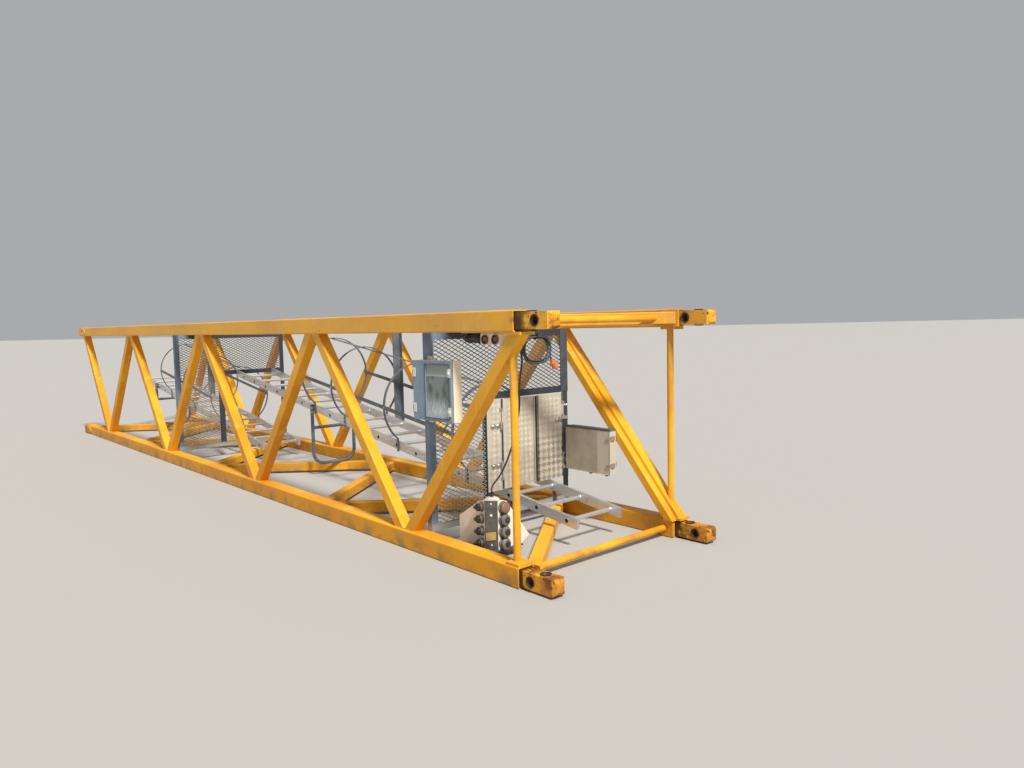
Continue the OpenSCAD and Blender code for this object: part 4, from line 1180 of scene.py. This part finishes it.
def socketDetail():
    caps, rims, dark, brown = Shapes(), Shapes(), Shapes(), Shapes()
    for side in (1, -1):
        r = sockets["radius"][0 if side == 1 else 1]
        for i in range(4):
            up = sockets["firstUp"] + i * sockets["pitch"]
            place, outward = socketPlace(side, up, sockets["long"])
            tilt = (outward + Vector((0, 0, 0.12))).normalized()
            lid = [(0.9, 0), (1.12, 0.002), (1.12, 0.010), (0.98, 0.015), (0.5, 0.020), (0.05, 0.021)]
            lid = [(r * q, h) for q, h in lid]
            if side == 1 and i == 3:
                brown.lathe(lid, place, tilt, 24)
            elif side == 1:
                caps.lathe(lid, place, tilt, 24)
                dark.lathe([(r * 0.62, 0), (r * 0.6, 0.002), (r * 0.3, 0.003)], place + tilt * 0.019, tilt, 20)
            else:
                dark.lathe([(q * 0.85, h * 1.2) for q, h in lid], place, tilt, 24)
                dark.lathe([(r * 0.4, 0), (r * 0.4, 0.012), (r * 0.25, 0.015)], place + tilt * 0.022, tilt, 12)
            collar = socketPlace(side, up, 0.0003)[0]
            rims.lathe([(r * 0.9, 0), (r * 1.22, 0), (r * 1.2, 0.006), (r * 1.02, 0.008)], collar, outward, 24)
    caps.make("socketLids", "grey", "black_plastic", smooth=True)
    brown.make("socketLidBrown", "brown", "black_plastic", smooth=True)
    dark.make("socketCaps", "black", "black_plastic", smooth=True)
    rims.make("socketRims", "grey", "black_plastic", smooth=True)
    ahead, right = socketAxes()
    x, y, z = sockets["front"]
    top = Shapes()
    arc = [math.pi * s / 10 for s in range(11)]
    rows = []
    for out in (0.0065, -0.05):
        row = [at(x, y, z + sockets["high"]) + ahead * out + right * (0.047 * math.cos(t)) for t in arc]
        rows.append([p + Vector((0, 0, 0.0003 + 0.02 * math.sin(t))) for p, t in zip(row, arc)])
    top.ring(rows, 11)
    top.make("socketBoxCap", "white", "white_plastic", bevel=0.002)
    screws, label = Shapes(), Shapes()
    for up, size in ((0.03, 0.006), (0.225, 0.009), (0.30, 0.006)):
        place = at(x, y, z + up) + ahead * 0.0063
        screws.lathe([(size, 0), (size * 1.03, 0.001), (size * 0.7, 0.003), (size * 0.2, 0.0034)], place, ahead, 12)
    screws.make("socketBoxScrews", "white", "grey_steel", smooth=True)
    # bare tan pad low on the spine
    rows = []
    for out in (0.0063, 0.0105):
        corners = ((-0.036, 0.058), (0.030, 0.066), (0.030, 0.118), (-0.036, 0.110))
        rows.append([at(x, y, z) + ahead * out + right * u + Vector((0, 0, v)) for u, v in corners])
    label.ring(rows, 4)
    label.make("socketBoxPad", "tan", "cream_paint", bevel=0.0012)


flank = {
    "start": 0.080,  # along the left side from the spine
    "turn": 56,
    "long": 0.205,
    "high": (0.306, 0.178),
    "back": -0.2345,
}


def boxFlank():
    # left flank of the socket box, which opens wider behind the sockets
    x, y, z = sockets["front"]
    ahead, right = socketAxes()
    spread, turn = math.radians(sockets["spread"]), math.radians(flank["turn"])
    start = Vector((-flank["start"] * math.cos(spread), -sockets["wide"] / 2 - flank["start"] * math.sin(spread)))
    along = Vector((-math.cos(turn), -math.sin(turn)))
    tip = start + flank["long"] * along
    back = flank["back"]
    plan = [start + Vector((0, 0.03)), start, tip, Vector((back, tip.y + 0.045)), Vector((back, start.y))]
    top, drop = flank["high"][0], (flank["high"][0] - flank["high"][1]) / flank["long"]
    rows = []
    for up in (None, 0.0):
        row = []
        for corner in plan:
            height = up if up is not None else top - drop * max(0.0, (corner - start).dot(along))
            row.append(at(x, y, z + height + 0.0005) + ahead * corner.x + right * corner.y)
        rows.append(row)
    shell = Shapes()
    shell.ring(rows, 5)
    shell.make("socketBoxFlank", "socketPaint", "white_plastic", bevel=0.003)


boxFlank()
socketDetail()
print("socket box dressed")

lamp = {
    "bracket": ((9.300, 0.1085, 1.4690), (9.690, 0.1640, 1.4747)),
    "body": ((9.485, 0.1120, 1.3980), (9.685, 0.1620, 1.4688)),
    "eyes": (9.534, 9.628),
    "eye": 0.0270,
    "connector": (9.318, 9.484),
    "connectorLine": (0.137, 1.4365),
}


def lampDetail():
    # junction lamp that hangs under the left top tube, with its black connector
    bracket, body, eyes, holes, black = Shapes(), Shapes(), Shapes(), Shapes(), Shapes()
    bracket.block(at(*lamp["bracket"][0]), at(*lamp["bracket"][1]))
    body.block(at(*lamp["body"][0]), at(*lamp["body"][1]))
    low, high = lamp["body"]
    middle = (low[2] + high[2]) / 2 - 0.004
    r = lamp["eye"]
    for x in lamp["eyes"]:
        place = at(x, low[1] + 0.001, middle)
        ring = [(r * 0.9, 0), (r * 1.1, 0.002), (r * 1.1, 0.010), (r * 0.92, 0.013), (r * 0.90, 0.007)]
        eyes.lathe(ring, place, (0, -1, 0), 28)
        holes.lathe([(r * 0.89, 0), (r * 0.88, 0.0085), (r * 0.4, 0.006)], place, (0, -1, 0), 24)
    x0, x1 = lamp["connector"]
    long = x1 - x0
    profile = [(0.010, -0.020), (0.015, -0.018), (0.017, 0.0), (0.026, 0.006), (0.028, 0.018), (0.028, long * 0.42)]
    parts = ((0.024, 0.44), (0.024, 0.50), (0.031, 0.52), (0.031, 0.90), (0.022, 0.93), (0.020, 1))
    profile += [(wide, long * part) for wide, part in parts]
    line = lamp["connectorLine"]
    black.lathe(profile, at(x0, *line), (1, 0, 0), 26)
    for x in (x0 + 0.035, x0 + 0.130):
        ring = [(0.0305, 0), (0.0325, 0.001), (0.0325, 0.009), (0.0305, 0.010)]
        black.lathe(ring, at(x, *line), (1, 0, 0), 26)
    bracket.make("lampBracket", "bolt", "grey_steel", bevel=0.001)
    body.make("lampBody", "cream", "cream_paint", bevel=0.006)
    eyes.make("lampRims", "brown", "black_plastic", smooth=True)
    holes.make("lampEyes", "dark", "black_plastic", smooth=True)
    black.make("lampConnector", "black", "black_plastic", smooth=True)


lampDetail()
print("lamp hung")

studio = {
    "floor": (0.42, 0.415, 0.405, 1),
    "sky": (0.86, 0.875, 0.90, 1),
    "floorReach": 400,
    "skyStrength": 0.46,
    "sun": 4.6,
    "sunFrom": (0.66, -0.16, 0.82),
    "softness": 9,
    "sunColour": (1.0, 0.95, 0.87),
}


def makeStudio():
    shapes = bpy.data.meshes.new("studioFloor")
    reach = studio["floorReach"]
    corner = ((-reach, -reach), (reach, -reach), (reach, reach), (-reach, reach))
    shapes.from_pydata([(x, y, -0.001) for x, y in corner], [], [[0, 1, 2, 3]])
    floor = bpy.data.objects.new("studioFloor", shapes)
    bpy.context.scene.collection.objects.link(floor)
    on = Finish("paleFloor")
    on.set("Base Color", studio["floor"])
    on.set("Roughness", 0.9)
    shapes.materials.append(on.made)
    light = bpy.data.lights.new("softSun", "SUN")
    light.energy = studio["sun"]
    light.angle = math.radians(studio["softness"])
    light.color = studio["sunColour"]
    sun = bpy.data.objects.new("softSun", light)
    sun.rotation_euler = Vector(studio["sunFrom"]).to_track_quat("Z", "Y").to_euler()
    bpy.context.scene.collection.objects.link(sun)
    world = bpy.data.worlds.new("studio")
    world.use_nodes = True
    sky = world.node_tree.nodes["Background"]
    sky.inputs[0].default_value = studio["sky"]
    sky.inputs[1].default_value = studio["skyStrength"]
    bpy.context.scene.world = world
    bpy.context.scene.view_settings.view_transform = "Standard"


makeStudio()
print("studio lit")
